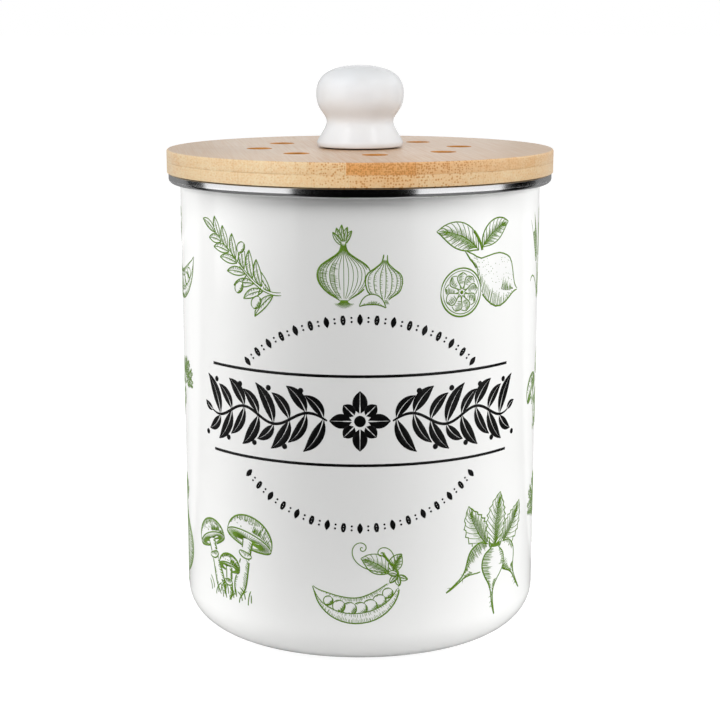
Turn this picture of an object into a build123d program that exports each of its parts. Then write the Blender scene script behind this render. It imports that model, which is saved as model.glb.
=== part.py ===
from build123d import *
import os
from math import ceil

# Compost caddy, in millimetres. It stands on the XY plane with its axis on Z, and its front is towards -Y.
# An enamelled steel can has a stainless band on its rim. A bamboo lid with vent holes lifts off it.
# Under the lid a bamboo ring carries the seal and a charcoal filter pad, which turning clips hold in.

os.makedirs("parts", exist_ok=True)

# Can: a drawn sheet steel shell
can_diameter = 158.7
can_height = 203.2
can_wall = 0.8
base_corner = 16.4
base_raise = 1.5
base_slope = 3.0
base_bend = 1.5
foot_width = 4.0
neck_bend = 1.2
flange_bend = 0.3

# Rim band: a sheet channel pressed over the can's turned-out flange
rim_overhang = 5.0
rim_drop = 4.1
rim_sheet = 0.4
rim_corner = 1.8
rim_fit = 0.05
rim_wall_gap = 0.2

# Lid board: two plies of edge-glued strips, glued with their joints offset. It overlaps the rim band.
lid_overlap = 0.65
lid_gap = 0.3
lid_turn = 8.0
ply = 5.0
strip_width = 14.0
upper_joint = 10.2
lower_joint = 11.6
glue_line = 0.1
lid_top_round = 0.9
lid_bottom_bevel = 0.5

# Vent holes
vent_count = 8
vent_diameter = 10.5
vent_circle_diameter = 89.0
vent_round = 0.4

# Ring under the lid, and the seal in its groove
plug_wall_gap = 4.55
plug_width = 12.0
plug_round = 1.0
groove_depth = 2.0
groove_height = 4.0
seal_fit = 0.05
seal_web = 1.2
seal_gap = 0.3
fin_thickness = 0.9
fin_rise = 0.7

# Filter pad
filter_thickness = 10.0
filter_side_gap = 0.5
filter_round = 1.5

# Knob, turned about the lid's axis. Heights are above its own foot.
knob_height = 35.1
knob_foot_diameter = 37.8
knob_foot_round = 0.9
knob_foot_height = 1.8
knob_neck_diameter = 29.44
knob_neck_height = 10.6
knob_belly_diameter = 38.48
knob_belly_height = 22.9
knob_washer_diameter = 33.0
knob_washer_thickness = 0.6

# How full each stretch of the knob's side is at its lower and upper end, as shares of its height or reach
foot_fullness = (0.15, 0.28)
neck_fullness = (0.32, 0.62)
crown_fullness = (0.65, 0.68)

# Knob fixing: a machine screw from below into a threaded insert in the knob
insert_diameter = 8.0
insert_length = 16.0
insert_fit = 0.05
insert_end_room = 1.5
bolt_diameter = 5.0
bolt_thread_fit = 0.05
bolt_hole_clearance = 0.25
bolt_grip_in_knob = 13.0
bolt_head_diameter = 9.5
bolt_head_height = 2.8
bolt_washer_diameter = 13.0
bolt_washer_thickness = 1.0
counterbore_clearance = 1.0
counterbore_spare = 0.2
recess_width = 1.3
recess_depth = 1.4

# Turning clips, each on a screw with a washer under its head
clip_count = 3
clip_turn = -90.0
clip_reach = 12.0
clip_width = 9.0
clip_thickness = 1.6
clip_round = 0.3
clip_gap = 0.3
clip_pivot_clearance = 0.15
clip_screw_diameter = 3.5
clip_screw_fit = 0.05
clip_screw_bite = 7.5
clip_screw_point = 2.5
clip_head_diameter = 7.0
clip_head_height = 2.2
clip_head_round = 0.8
clip_washer_diameter = 7.6
clip_washer_thickness = 0.4
clip_washer_gap = 0.1
clip_recess_width = 0.9
clip_recess_depth = 1.0

# Radii and levels that follow from the sizes above
can_r = can_diameter / 2
bore_r = can_r - can_wall
rim_r = can_r + rim_overhang
rim_bottom = can_height - rim_drop
flange_top = can_height - rim_sheet - rim_fit
flange_r = rim_r - rim_sheet - rim_fit
panel_r = can_r - base_corner - foot_width

lid_r = rim_r + lid_overlap
lid_bottom = can_height + lid_gap
ply_line = lid_bottom + ply
lid_top = ply_line + ply

plug_r = bore_r - plug_wall_gap
well_r = plug_r - plug_width
plug_bottom = lid_bottom - filter_thickness
groove_middle = (lid_bottom + plug_bottom) / 2

knob_bottom = lid_top + knob_washer_thickness
bolt_r = bolt_diameter / 2
bolt_hole_r = bolt_r + bolt_hole_clearance
counterbore_r = bolt_washer_diameter / 2 + counterbore_clearance
bolt_head_bottom = lid_bottom + counterbore_spare
bolt_head_top = bolt_head_bottom + bolt_head_height
counterbore_depth = counterbore_spare + bolt_head_height + bolt_washer_thickness
bolt_end = knob_bottom + bolt_grip_in_knob

clip_top = plug_bottom - clip_gap
clip_bottom = clip_top - clip_thickness
clip_washer_bottom = clip_bottom - clip_washer_gap - clip_washer_thickness
clip_head_bottom = clip_washer_bottom - clip_head_height
pivot_r = plug_r - plug_width / 2
clip_screw_r = clip_screw_diameter / 2
clip_hole_r = clip_screw_r + clip_pivot_clearance


def level(height):
    """The horizontal plane at a height."""
    return Plane.XY.offset(height)


def lid_level(height):
    """The horizontal plane at a height, turned so that its Y axis follows the lid's grain."""
    return Plane.XY.offset(height).rotated((0, 0, lid_turn))


def strip_joints(first_joint):
    """Where the glue lines lie across a ply, counted both ways from one of them."""
    steps = ceil(2 * lid_r / strip_width)
    places = [first_joint + step * strip_width for step in range(-steps, steps + 1)]
    outermost = lid_r - strip_width / 4
    return [(place, 0) for place in places if abs(place) < outermost]


# Can
with BuildPart() as enamelled_can:
    with BuildSketch(Plane.XZ):
        with BuildLine():
            FilletPolyline(
                (0, base_raise),
                (panel_r - base_slope, base_raise),
                (panel_r, 0),
                (can_r, 0),
                (can_r, flange_top - can_wall),
                (flange_r - can_wall, flange_top - can_wall),
                (flange_r - can_wall, rim_bottom + rim_corner),
                radius=[base_bend, base_bend, base_corner, neck_bend, flange_bend],
            )
            offset(amount=can_wall, side=Side.LEFT)
        make_face()
    revolve(axis=Axis.Z)
enamelled_can.part.label = "enamelled_can"
export_step(enamelled_can.part, "parts/enamelled_can.step")

# Rim band
with BuildPart() as rim_band:
    with BuildSketch(Plane.XZ):
        with BuildLine():
            FilletPolyline(
                (can_r + neck_bend, can_height),
                (rim_r, can_height),
                (rim_r, rim_bottom),
                (can_r + rim_wall_gap, rim_bottom),
                radius=[flange_bend + can_wall + rim_fit + rim_sheet, rim_corner],
            )
            offset(amount=rim_sheet, side=Side.RIGHT)
        make_face()
    revolve(axis=Axis.Z)
rim_band.part.label = "rim_band"
export_step(rim_band.part, "parts/rim_band.step")

# Upper ply of the lid board
with BuildPart() as lid_upper_ply:
    with BuildSketch(lid_level(ply_line)):
        Circle(lid_r)
        Circle(bolt_hole_r, mode=Mode.SUBTRACT)
        with PolarLocations(vent_circle_diameter / 2, vent_count):
            Circle(vent_diameter / 2, mode=Mode.SUBTRACT)
    extrude(amount=ply)
    upper_rims = lid_upper_ply.edges().filter_by(GeomType.CIRCLE).group_by(Axis.Z)[-1]
    fillet(upper_rims.sort_by(SortBy.RADIUS)[-1], lid_top_round)
    chamfer(upper_rims.sort_by(SortBy.RADIUS)[1:-1], vent_round)
    with BuildSketch(lid_level(ply_line)):
        with Locations(*strip_joints(upper_joint)):
            Rectangle(glue_line, 2 * lid_r)
    extrude(amount=ply, mode=Mode.SUBTRACT)
lid_upper_ply.part.label = "lid_upper_ply"
export_step(lid_upper_ply.part, "parts/lid_upper_ply.step")

# Lower ply of the lid board, counterbored for the knob's screw
with BuildPart() as lid_lower_ply:
    with BuildSketch(lid_level(lid_bottom)):
        Circle(lid_r)
        Circle(bolt_hole_r, mode=Mode.SUBTRACT)
        with PolarLocations(vent_circle_diameter / 2, vent_count):
            Circle(vent_diameter / 2, mode=Mode.SUBTRACT)
    extrude(amount=ply)
    lower_rims = lid_lower_ply.edges().filter_by(GeomType.CIRCLE).group_by(Axis.Z)[0]
    chamfer(lower_rims.sort_by(SortBy.RADIUS)[-1], lid_bottom_bevel)
    with BuildSketch(lid_level(lid_bottom)):
        Circle(counterbore_r)
    extrude(amount=counterbore_depth, mode=Mode.SUBTRACT)
    with BuildSketch(lid_level(lid_bottom)):
        with Locations(*strip_joints(lower_joint)):
            Rectangle(glue_line, 2 * lid_r)
    extrude(amount=ply, mode=Mode.SUBTRACT)
lid_lower_ply.part.label = "lid_lower_ply"
export_step(lid_lower_ply.part, "parts/lid_lower_ply.step")

# Ring under the lid, as deep as the filter pad that it holds
with BuildPart() as lid_plug_ring:
    with BuildSketch(level(plug_bottom)):
        Circle(plug_r)
        Circle(well_r, mode=Mode.SUBTRACT)
    extrude(amount=filter_thickness)
    ring_foot = lid_plug_ring.edges().filter_by(GeomType.CIRCLE).group_by(Axis.Z)[0]
    fillet(ring_foot.sort_by(SortBy.RADIUS)[-1], plug_round)
    with BuildSketch(level(groove_middle - groove_height / 2)):
        Circle(plug_r + groove_depth)
        Circle(plug_r - groove_depth, mode=Mode.SUBTRACT)
    extrude(amount=groove_height, mode=Mode.SUBTRACT)
    with BuildSketch(level(plug_bottom)):
        with PolarLocations(pivot_r, clip_count, start_angle=clip_turn):
            Circle(clip_screw_r + clip_screw_fit)
    extrude(amount=clip_screw_bite + clip_screw_fit, mode=Mode.SUBTRACT)
lid_plug_ring.part.label = "lid_plug_ring"
export_step(lid_plug_ring.part, "parts/lid_plug_ring.step")

# Seal ring: a root in the groove, a web outside it and two fins that reach towards the can's wall
seal_tip_r = bore_r - seal_gap
seal_half = groove_height / 2 - seal_fit
with BuildPart() as seal_ring:
    with BuildSketch(Plane.XZ):
        with BuildLine():
            Polyline(
                (plug_r - groove_depth + seal_fit, groove_middle - seal_half),
                (plug_r + seal_web, groove_middle - seal_half),
                (seal_tip_r, groove_middle - seal_half + fin_rise),
                (seal_tip_r, groove_middle - seal_half + fin_rise + fin_thickness),
                (plug_r + seal_web, groove_middle - seal_half + fin_thickness),
                (plug_r + seal_web, groove_middle + seal_half - fin_thickness),
                (seal_tip_r, groove_middle + seal_half - fin_thickness + fin_rise),
                (seal_tip_r, groove_middle + seal_half + fin_rise),
                (plug_r + seal_web, groove_middle + seal_half),
                (plug_r - groove_depth + seal_fit, groove_middle + seal_half),
                close=True,
            )
        make_face()
    revolve(axis=Axis.Z)
seal_ring.part.label = "seal_ring"
export_step(seal_ring.part, "parts/seal_ring.step")

# Filter pad
with BuildPart() as filter_pad:
    with BuildSketch(level(plug_bottom)):
        Circle(well_r - filter_side_gap)
    extrude(amount=filter_thickness)
    fillet(filter_pad.edges().filter_by(GeomType.CIRCLE), filter_round)
filter_pad.part.label = "filter_pad"
export_step(filter_pad.part, "parts/filter_pad.step")

# Knob: a foot, a waisted neck, a round belly and a flat crown
foot_r = knob_foot_diameter / 2
neck_r = knob_neck_diameter / 2
belly_r = knob_belly_diameter / 2
neck_drop = knob_neck_height - knob_foot_height
belly_rise = knob_belly_height - knob_neck_height
crown_rise = knob_height - knob_belly_height
with BuildPart() as knob:
    with BuildSketch(Plane((0, 0, knob_bottom), x_dir=(1, 0, 0), z_dir=(0, -1, 0))):
        with BuildLine():
            Line((0, 0), (foot_r - knob_foot_round, 0))
            Bezier((foot_r - knob_foot_round, 0), (foot_r, 0), (foot_r, knob_foot_height))
            Bezier(
                (foot_r, knob_foot_height),
                (foot_r, knob_foot_height + foot_fullness[0] * neck_drop),
                (neck_r, knob_neck_height - foot_fullness[1] * neck_drop),
                (neck_r, knob_neck_height),
            )
            Bezier(
                (neck_r, knob_neck_height),
                (neck_r, knob_neck_height + neck_fullness[0] * belly_rise),
                (belly_r, knob_belly_height - neck_fullness[1] * belly_rise),
                (belly_r, knob_belly_height),
            )
            Bezier(
                (belly_r, knob_belly_height),
                (belly_r, knob_belly_height + crown_fullness[0] * crown_rise),
                (belly_r * crown_fullness[1], knob_height),
                (0, knob_height),
            )
            Line((0, knob_height), (0, 0))
        make_face()
    revolve(axis=Axis.Z)
    with BuildSketch(level(knob_bottom)):
        Circle(insert_diameter / 2 + insert_fit)
    extrude(amount=insert_length + insert_end_room, mode=Mode.SUBTRACT)
knob.part.label = "knob"
export_step(knob.part, "parts/knob.step")

# Washer between the knob and the lid
with BuildPart() as knob_washer:
    with BuildSketch(level(lid_top)):
        Circle(knob_washer_diameter / 2)
        Circle(bolt_hole_r, mode=Mode.SUBTRACT)
    extrude(amount=knob_washer_thickness)
knob_washer.part.label = "knob_washer"
export_step(knob_washer.part, "parts/knob_washer.step")

# Threaded insert, cemented in the knob
with BuildPart() as knob_insert:
    with BuildSketch(level(knob_bottom)):
        Circle(insert_diameter / 2)
        Circle(bolt_r + bolt_thread_fit, mode=Mode.SUBTRACT)
    extrude(amount=insert_length)
knob_insert.part.label = "knob_insert"
export_step(knob_insert.part, "parts/knob_insert.step")

# Knob screw, with a cross recess in its head
with BuildPart() as knob_bolt:
    with BuildSketch(level(bolt_head_bottom)):
        Circle(bolt_head_diameter / 2)
    extrude(amount=bolt_head_height)
    fillet(knob_bolt.edges().filter_by(GeomType.CIRCLE).sort_by(Axis.Z)[0], bolt_head_height / 3)
    with BuildSketch(level(bolt_head_top)):
        Circle(bolt_r)
    extrude(amount=bolt_end - bolt_head_top)
    with BuildSketch(level(bolt_head_bottom)):
        Rectangle(bolt_diameter, recess_width)
        Rectangle(recess_width, bolt_diameter)
    extrude(amount=recess_depth, mode=Mode.SUBTRACT)
knob_bolt.part.label = "knob_bolt"
export_step(knob_bolt.part, "parts/knob_bolt.step")

# Washer under the knob screw's head
with BuildPart() as bolt_washer:
    with BuildSketch(level(bolt_head_top)):
        Circle(bolt_washer_diameter / 2)
        Circle(bolt_hole_r, mode=Mode.SUBTRACT)
    extrude(amount=bolt_washer_thickness)
bolt_washer.part.label = "bolt_washer"
export_step(bolt_washer.part, "parts/bolt_washer.step")

# Turning clips, each pointing inwards under the pad
for number in range(clip_count):
    direction = clip_turn + number * 360 / clip_count
    with BuildPart() as clip:
        with BuildSketch(level(clip_bottom).rotated((0, 0, direction))):
            with Locations((pivot_r - clip_reach / 2, 0)):
                SlotCenterToCenter(clip_reach, clip_width)
            with Locations((pivot_r, 0)):
                Circle(clip_hole_r, mode=Mode.SUBTRACT)
        extrude(amount=clip_thickness)
        clip_outline = clip.faces().sort_by(Axis.Z)[0].outer_wire().edges()
        fillet(clip_outline, clip_round)
    clip.part.label = f"clip_{number + 1}"
    export_step(clip.part, f"parts/clip_{number + 1}.step")

# Clip screws: a pan head with a cross recess, a shank and a point
with BuildPart() as clip_screws:
    with BuildSketch(level(clip_head_bottom)):
        with PolarLocations(pivot_r, clip_count, start_angle=clip_turn):
            Circle(clip_head_diameter / 2)
    extrude(amount=clip_head_height)
    fillet(clip_screws.edges().group_by(Axis.Z)[0], clip_head_round)
    with BuildSketch(level(clip_washer_bottom)):
        with PolarLocations(pivot_r, clip_count, start_angle=clip_turn):
            Circle(clip_screw_r)
    extrude(amount=plug_bottom + clip_screw_bite - clip_screw_point - clip_washer_bottom)
    with Locations((0, 0, plug_bottom + clip_screw_bite - clip_screw_point)):
        with PolarLocations(pivot_r, clip_count, start_angle=clip_turn):
            Cone(
                clip_screw_r,
                clip_screw_r / 5,
                clip_screw_point,
                align=(Align.CENTER, Align.CENTER, Align.MIN),
            )
    with BuildSketch(level(clip_head_bottom)):
        with PolarLocations(pivot_r, clip_count, start_angle=clip_turn):
            Rectangle(clip_screw_diameter, clip_recess_width)
            Rectangle(clip_recess_width, clip_screw_diameter)
    extrude(amount=clip_recess_depth, mode=Mode.SUBTRACT)
clip_screws.part.label = "clip_screws"
export_step(clip_screws.part, "parts/clip_screws.step")

# Washers under the clip screws' heads
with BuildPart() as clip_washers:
    with BuildSketch(level(clip_washer_bottom)):
        with PolarLocations(pivot_r, clip_count, start_angle=clip_turn):
            Circle(clip_washer_diameter / 2)
            Circle(clip_hole_r, mode=Mode.SUBTRACT)
    extrude(amount=clip_washer_thickness)
clip_washers.part.label = "clip_washers"
export_step(clip_washers.part, "parts/clip_washers.step")
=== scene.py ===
from math import asin, ceil, cos, hypot, pi, radians, sin, tan
from random import Random

import bpy
from bpy.props import FloatProperty, FloatVectorProperty, IntProperty, PointerProperty
from bpy.types import NodeSocket, Operator, Panel, PropertyGroup
from mathutils import Matrix, Vector


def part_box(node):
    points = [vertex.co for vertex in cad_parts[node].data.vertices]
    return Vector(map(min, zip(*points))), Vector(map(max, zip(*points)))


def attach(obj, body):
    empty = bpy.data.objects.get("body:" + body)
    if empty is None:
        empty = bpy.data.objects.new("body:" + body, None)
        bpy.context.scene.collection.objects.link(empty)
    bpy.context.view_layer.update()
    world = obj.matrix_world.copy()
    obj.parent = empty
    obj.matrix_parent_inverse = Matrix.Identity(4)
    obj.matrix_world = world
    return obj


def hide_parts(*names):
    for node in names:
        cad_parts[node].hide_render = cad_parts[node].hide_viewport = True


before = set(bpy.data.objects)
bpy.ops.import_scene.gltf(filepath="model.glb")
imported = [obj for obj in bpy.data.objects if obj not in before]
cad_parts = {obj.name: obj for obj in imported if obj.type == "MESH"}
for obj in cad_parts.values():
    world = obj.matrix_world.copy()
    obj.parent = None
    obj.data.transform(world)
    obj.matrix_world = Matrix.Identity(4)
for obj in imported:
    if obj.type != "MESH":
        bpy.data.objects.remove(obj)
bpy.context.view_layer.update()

bl_info = {
    "name": "Compost Caddy Looks",
    "version": (1, 0, 0),
    "blender": (4, 5, 0),
    "location": "View3D > Sidebar > Caddy",
    "description": "Dresses a packed compost caddy: enamel, print, rim, bamboo lid, knob, filter and stage",
    "category": "Add Mesh",
}

# The object stands on the XY plane with its axis on Z and its front towards -Y. Lengths are in metres,
# apart from the print, which is drawn in millimetres on the can's unrolled wall.
MM = 0.001
TURN_STEPS = 256
SMALL_TURN_STEPS = 64
MERGE = 1e-7
SMOOTH_ANGLE = radians(32)
CLIP_DIRECTIONS = (-90, 30, 150)

# How much amber each strip of a ply shows, from left to right across the grain
UPPER_TONES = (0.10, 0.08, 0.05, 0.12, 0.26, 0.94, 0.90, 0.62, 0.52, 0.48, 0.40, 0.30, 0.35)
LOWER_TONES = (0.05, 0.08, 0.05, 0.10, 0.18, 0.40, 0.36, 0.26, 0.24, 0.20, 0.18, 0.20)
RING_TONES = (0.15, 0.05, 0.20, 0.10, 0.25, 0.08, 0.18, 0.05, 0.22, 0.12, 0.18, 0.10, 0.15)


def span(node):
    """The lowest and highest level of a CAD node."""
    low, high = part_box(node)
    return low.z, high.z


def reach(node, below=None):
    """The greatest radius of a CAD node, at all its heights or below one of them."""
    points = [vertex.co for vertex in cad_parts[node].data.vertices]
    return max(hypot(point.x, point.y) for point in points if below is None or point.z < below)


RIM_LOW, RIM_HIGH = span("rim_band")
PLUG_LOW, PLUG_HIGH = span("lid_plug_ring")
LID_LOW, PLY_LINE = span("lid_lower_ply")
LID_HIGH = span("lid_upper_ply")[1]
KNOB_LOW, KNOB_HIGH = span("knob")
CLIP_LOW, CLIP_HIGH = span("clip_1")
WALL_R = reach("enamelled_can", below=RIM_LOW - 5 * MM)
RIM_R = reach("rim_band")
LID_R = reach("lid_upper_ply")
PLUG_R = reach("lid_plug_ring")
FILTER_R = reach("filter_pad")
SEAL_R = reach("seal_ring")


def length(label, text, default):
    """A length that the panel shows in the scene's units."""
    return FloatProperty(name=label, description=text, default=default, unit="LENGTH", precision=5)


def angle(label, text, degrees):
    """An angle, given in degrees."""
    return FloatProperty(name=label, description=text, default=radians(degrees), unit="ROTATION")


def share(label, text, default):
    """A number between 0 and 1."""
    return FloatProperty(name=label, description=text, default=default, min=0, max=1, subtype="FACTOR")


def colour(label, text, default):
    """A linear colour."""
    return FloatVectorProperty(name=label, description=text, default=default, min=0, max=1, subtype="COLOR")


class CaddyCanLooks(PropertyGroup):
    sheet: length("Sheet", "Thickness of the can's steel and enamel", 0.8 * MM)
    corner: length("Foot corner", "Outer radius between the wall and the base", 16.4 * MM)
    foot: length("Foot ring", "Width of the flat ring that the can stands on", 4 * MM)
    base_raise: length("Base raise", "Height of the base panel above the ring", 1.5 * MM)
    base_slope: length("Base slope", "Width of the step between panel and ring", 3 * MM)
    base_bend: length("Base bend", "Radius of the bends beside the ring", 1.5 * MM)
    neck_bend: length("Neck bend", "Radius where the wall turns outwards", 1.2 * MM)
    flange_bend: length("Flange bend", "Inner radius of the flange's outer bend", 0.3 * MM)
    rim_sheet: length("Rim sheet", "Thickness of the rim band", 0.4 * MM)
    rim_fit: length("Rim fit", "Room between the rim band and the flange", 0.05 * MM)
    rim_corner: length("Rim corner", "Outer radius of the rim band's lower corner", 1.8 * MM)
    rim_shoulder: length("Rim shoulder", "Outer radius of the rim band's upper corner", 0.6 * MM)
    rim_wall_gap: length("Rim wall gap", "Room between the rim band and the wall", 0.2 * MM)
    enamel: colour("Enamel", "Colour of the enamel", (0.86, 0.86, 0.85))
    steel: colour("Rim steel", "Colour of the polished rim", (0.82, 0.82, 0.83))


class CaddyPrintLooks(PropertyGroup):
    stand: length("Ink stand", "How far the ink stands off the wall", 0.05 * MM)
    root: length("Ink root", "How far the ink reaches into the enamel", 0.03 * MM)
    rule_low: length("Lower rule", "Height of the lower black rule", 89 * MM)
    rule_high: length("Upper rule", "Height of the upper black rule", 126.5 * MM)
    rule_half: length("Half rule", "Half of a rule's length along the wall", 71.5 * MM)
    rule_width: length("Rule width", "Width of the black rules", 0.8 * MM)
    upper_row: length("Upper row", "Height of the middle of the upper row of plants", 169 * MM)
    lower_row: length("Lower row", "Height of the middle of the lower row of plants", 43 * MM)
    green: colour("Green ink", "Colour of the plants", (0.112, 0.222, 0.014))
    black: colour("Black ink", "Colour of the rules, garland and borders", (0.004, 0.004, 0.004))


class CaddyLidLooks(PropertyGroup):
    grain_turn: angle("Grain turn", "Turn of the lid's grain from front to back", 8)
    strip: length("Strip", "Width of the bamboo strips", 14 * MM)
    upper_joint: length("Upper joint", "Place of a glue line of the upper ply", 10.2 * MM)
    lower_joint: length("Lower joint", "Place of a glue line of the lower ply", 11.6 * MM)
    top_round: length("Top round", "Radius of the lid's upper edge", 0.9 * MM)
    low_bevel: length("Low bevel", "Bevel of the lid's lower edge", 0.12 * MM)
    seam: length("Seam", "Radius of the edges where the two plies meet", 0.1 * MM)
    bolt_hole: length("Bolt hole", "Radius of the hole for the knob's screw", 2.75 * MM)
    counterbore: length("Counterbore", "Radius of the counterbore under the lid", 7.5 * MM)
    counterbore_depth: length("Counterbore depth", "Depth of the counterbore", 4 * MM)
    vent_count: IntProperty(name="Vents", description="Number of vent holes", default=8, min=1)
    vent: length("Vent", "Radius of a vent hole", 5.25 * MM)
    vent_circle: length("Vent circle", "Radius of the circle that the vents lie on", 44.5 * MM)
    vent_round: length("Vent round", "Bevel of the vents' upper edge", 0.4 * MM)
    plug_width: length("Ring width", "Width of the ring under the lid", 12 * MM)
    plug_round: length("Ring round", "Radius of the ring's lower edge", 1 * MM)
    groove_depth: length("Groove depth", "Depth of the seal's groove", 2 * MM)
    groove_height: length("Groove height", "Height of the seal's groove", 4 * MM)
    seal_web: length("Seal web", "How far the seal's web stands out of the groove", 1.2 * MM)
    fin: length("Fin", "Thickness of the seal's fins", 0.9 * MM)
    fin_rise: length("Fin rise", "How far a fin climbs towards its tip", 0.7 * MM)
    pale: colour("Pale bamboo", "Ground colour of the pale strips", (0.76, 0.605, 0.37))
    amber: colour("Amber bamboo", "Ground colour of the amber strips", (0.71, 0.345, 0.115))
    fibre: colour("Fibre", "Colour of the fibre bundles", (0.60, 0.27, 0.075))
    # Painted sheen and shade of the lid's top: the tone that the top face is mixed towards
    sanded: colour("Painted top sheen and shade", "What the strips of the lid's top come close to", (0.62, 0.45, 0.31))
    # Painted shade inside the vents, over the bored wood's own orange: the colour of the vents' walls
    scorched: colour("Bored bamboo", "Colour of the vents' walls", (0.68, 0.29, 0.065))


class CaddyKnobLooks(PropertyGroup):
    foot: length("Foot", "Radius of the knob's foot", 18.9 * MM)
    foot_round: length("Foot round", "Radius under the foot's edge", 0.9 * MM)
    foot_height: length("Foot height", "Height of the foot's widest place", 1.8 * MM)
    neck: length("Neck", "Radius of the neck", 14.72 * MM)
    neck_height: length("Neck height", "Height of the neck", 10.6 * MM)
    belly: length("Belly", "Radius of the belly", 19.24 * MM)
    belly_height: length("Belly height", "Height of the belly", 22.9 * MM)
    bore: length("Bore", "Radius of the blind hole for the insert", 4.05 * MM)
    bore_depth: length("Bore depth", "Depth of the blind hole", 17.5 * MM)
    glaze: colour("Glaze", "Colour of the knob's glaze", (0.745, 0.76, 0.78))


class CaddyStageLooks(PropertyGroup):
    camera_back: length("Camera distance", "How far the camera stands in front of the axis", 760.4 * MM)
    camera_up: length("Camera height", "Height of the camera", 266.6 * MM)
    camera_pitch: angle("Camera pitch", "How far the camera looks down", 12.868)
    lens: FloatProperty(name="Lens", description="Focal length in millimetres", default=85.29)
    shift: FloatProperty(
        name="Shift", description="Vertical shift of the lens, as a share of the frame", default=0.0746
    )
    ambient: share("Ambient", "Strength of the light from all round", 0.06)
    lamps: FloatProperty(
        name="Lamps", description="Power that the softboxes share out", default=10.0, unit="POWER"
    )
    lamp_distance: length("Lamp distance", "Distance of the softboxes from the point that they face", 1.28)
    lamp_aim: length("Lamp aim", "Height of the point that the softboxes face", 140 * MM)


# Modelling helpers


def choose(*pieces):
    """Selects only these pieces, with the first one active."""
    bpy.ops.object.select_all(action="DESELECT")
    for piece in pieces:
        piece.select_set(True)
    bpy.context.view_layer.objects.active = pieces[0]


def added(name):
    """The piece that an operator has just added, under its name."""
    piece = bpy.context.object
    piece.name = name
    piece.data.name = name
    return piece


def edit(piece):
    """Edit mode on a piece, with its whole mesh selected."""
    choose(piece)
    bpy.ops.object.mode_set(mode="EDIT")
    bpy.ops.mesh.select_all(action="SELECT")


def apply_modifier(piece, kind, **settings):
    """Adds a modifier to a piece and applies it."""
    modifier = piece.modifiers.new(kind.title(), kind)
    for name, value in settings.items():
        setattr(modifier, name, value)
    choose(piece)
    bpy.ops.object.modifier_apply(modifier=modifier.name)


def smooth(piece):
    """Shades a piece smooth, apart from its sharp edges."""
    choose(piece)
    bpy.ops.object.shade_smooth_by_angle(angle=SMOOTH_ANGLE)


def settle(piece):
    """Moves a piece's place from its object into its mesh."""
    choose(piece)
    bpy.ops.object.transform_apply(location=True, rotation=True, scale=True)


def moved(piece, x):
    """Moves a piece along the X axis."""
    piece.location.x = x
    settle(piece)


def turned_about_axis(piece, degrees, name):
    """A copy of a piece, with its own mesh, turned about the Z axis."""
    copy = piece.copy()
    copy.data = piece.data.copy()
    copy.name = name
    copy.data.name = name
    bpy.context.scene.collection.objects.link(copy)
    copy.rotation_euler.z = radians(degrees)
    settle(copy)
    return copy


def joined(name, *pieces):
    """Several pieces made one."""
    choose(*pieces)
    bpy.ops.object.join()
    return added(name)


def cut(piece, cutter):
    """Takes the cutter's shape out of a piece. The cut faces keep the cutter's material."""
    apply_modifier(
        piece, "BOOLEAN", object=cutter, operation="DIFFERENCE", solver="EXACT", material_mode="TRANSFER"
    )
    bpy.data.objects.remove(cutter)


def on_curve(controls, t):
    """The point at a share of the Bezier curve that these control points give."""
    row = [Vector(control) for control in controls]
    while len(row) > 1:
        row = [first.lerp(second, t) for first, second in zip(row, row[1:])]
    return row[0]


def bezier(controls, steps):
    """Points along a Bezier curve, from its start to its end."""
    return [on_curve(controls, step / steps) for step in range(steps + 1)]


def rounded(corners, radii, steps=8):
    """A path through corners, each corner between its ends rounded to its radius."""
    path = [Vector(corners[0])]
    for before, corner, after, radius in zip(corners, corners[1:], corners[2:], radii):
        corner = Vector(corner)
        back = (Vector(before) - corner).normalized()
        ahead = (Vector(after) - corner).normalized()
        turn = pi - back.angle(ahead)
        centre = corner + (back + ahead).normalized() * radius / cos(turn / 2)
        start = corner + back * radius * tan(turn / 2) - centre
        way = -1 if back.cross(ahead) > 0 else 1
        for step in range(steps + 1):
            path.append(centre + Matrix.Rotation(way * turn * step / steps, 2) @ start)
    path.append(Vector(corners[-1]))
    return path


def turned(name, profile, steps=TURN_STEPS, thickness=0):
    """Turns a (radius, height) profile about the Z axis, into a solid or a skin with a thickness."""
    bpy.ops.object.select_all(action="DESELECT")
    bpy.ops.mesh.primitive_plane_add(size=MM)
    piece = added(name)
    edit(piece)
    bpy.ops.mesh.merge(type="CENTER")
    here = Vector((0, 0, 0))
    for number, (radius, height) in enumerate(profile):
        there = Vector((radius, 0, height))
        if number == 0:
            bpy.ops.transform.translate(value=there - here)
        else:
            bpy.ops.mesh.extrude_region_move(TRANSFORM_OT_translate={"value": there - here})
        here = there
    bpy.ops.mesh.select_all(action="SELECT")
    bpy.ops.mesh.spin(steps=steps, angle=2 * pi, center=(0, 0, 0), axis=(0, 0, 1))
    bpy.ops.mesh.select_all(action="SELECT")
    bpy.ops.mesh.remove_doubles(threshold=MERGE)
    bpy.ops.mesh.normals_make_consistent(inside=False)
    bpy.ops.object.mode_set(mode="OBJECT")
    if thickness:
        lowest = min(piece.data.polygons, key=lambda face: face.center.z)
        way = -1 if lowest.normal.z < 0 else 1
        apply_modifier(piece, "SOLIDIFY", thickness=thickness, offset=way, use_even_offset=True)
        edit(piece)
        bpy.ops.mesh.normals_make_consistent(inside=False)
        bpy.ops.object.mode_set(mode="OBJECT")
    smooth(piece)
    return piece


def lit_group(part):
    """A collection for light linking: the can's pieces, the lid's, or all but the rim's."""
    name = f"lit_{part}"
    return bpy.data.collections.get(name) or bpy.data.collections.new(name)


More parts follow.
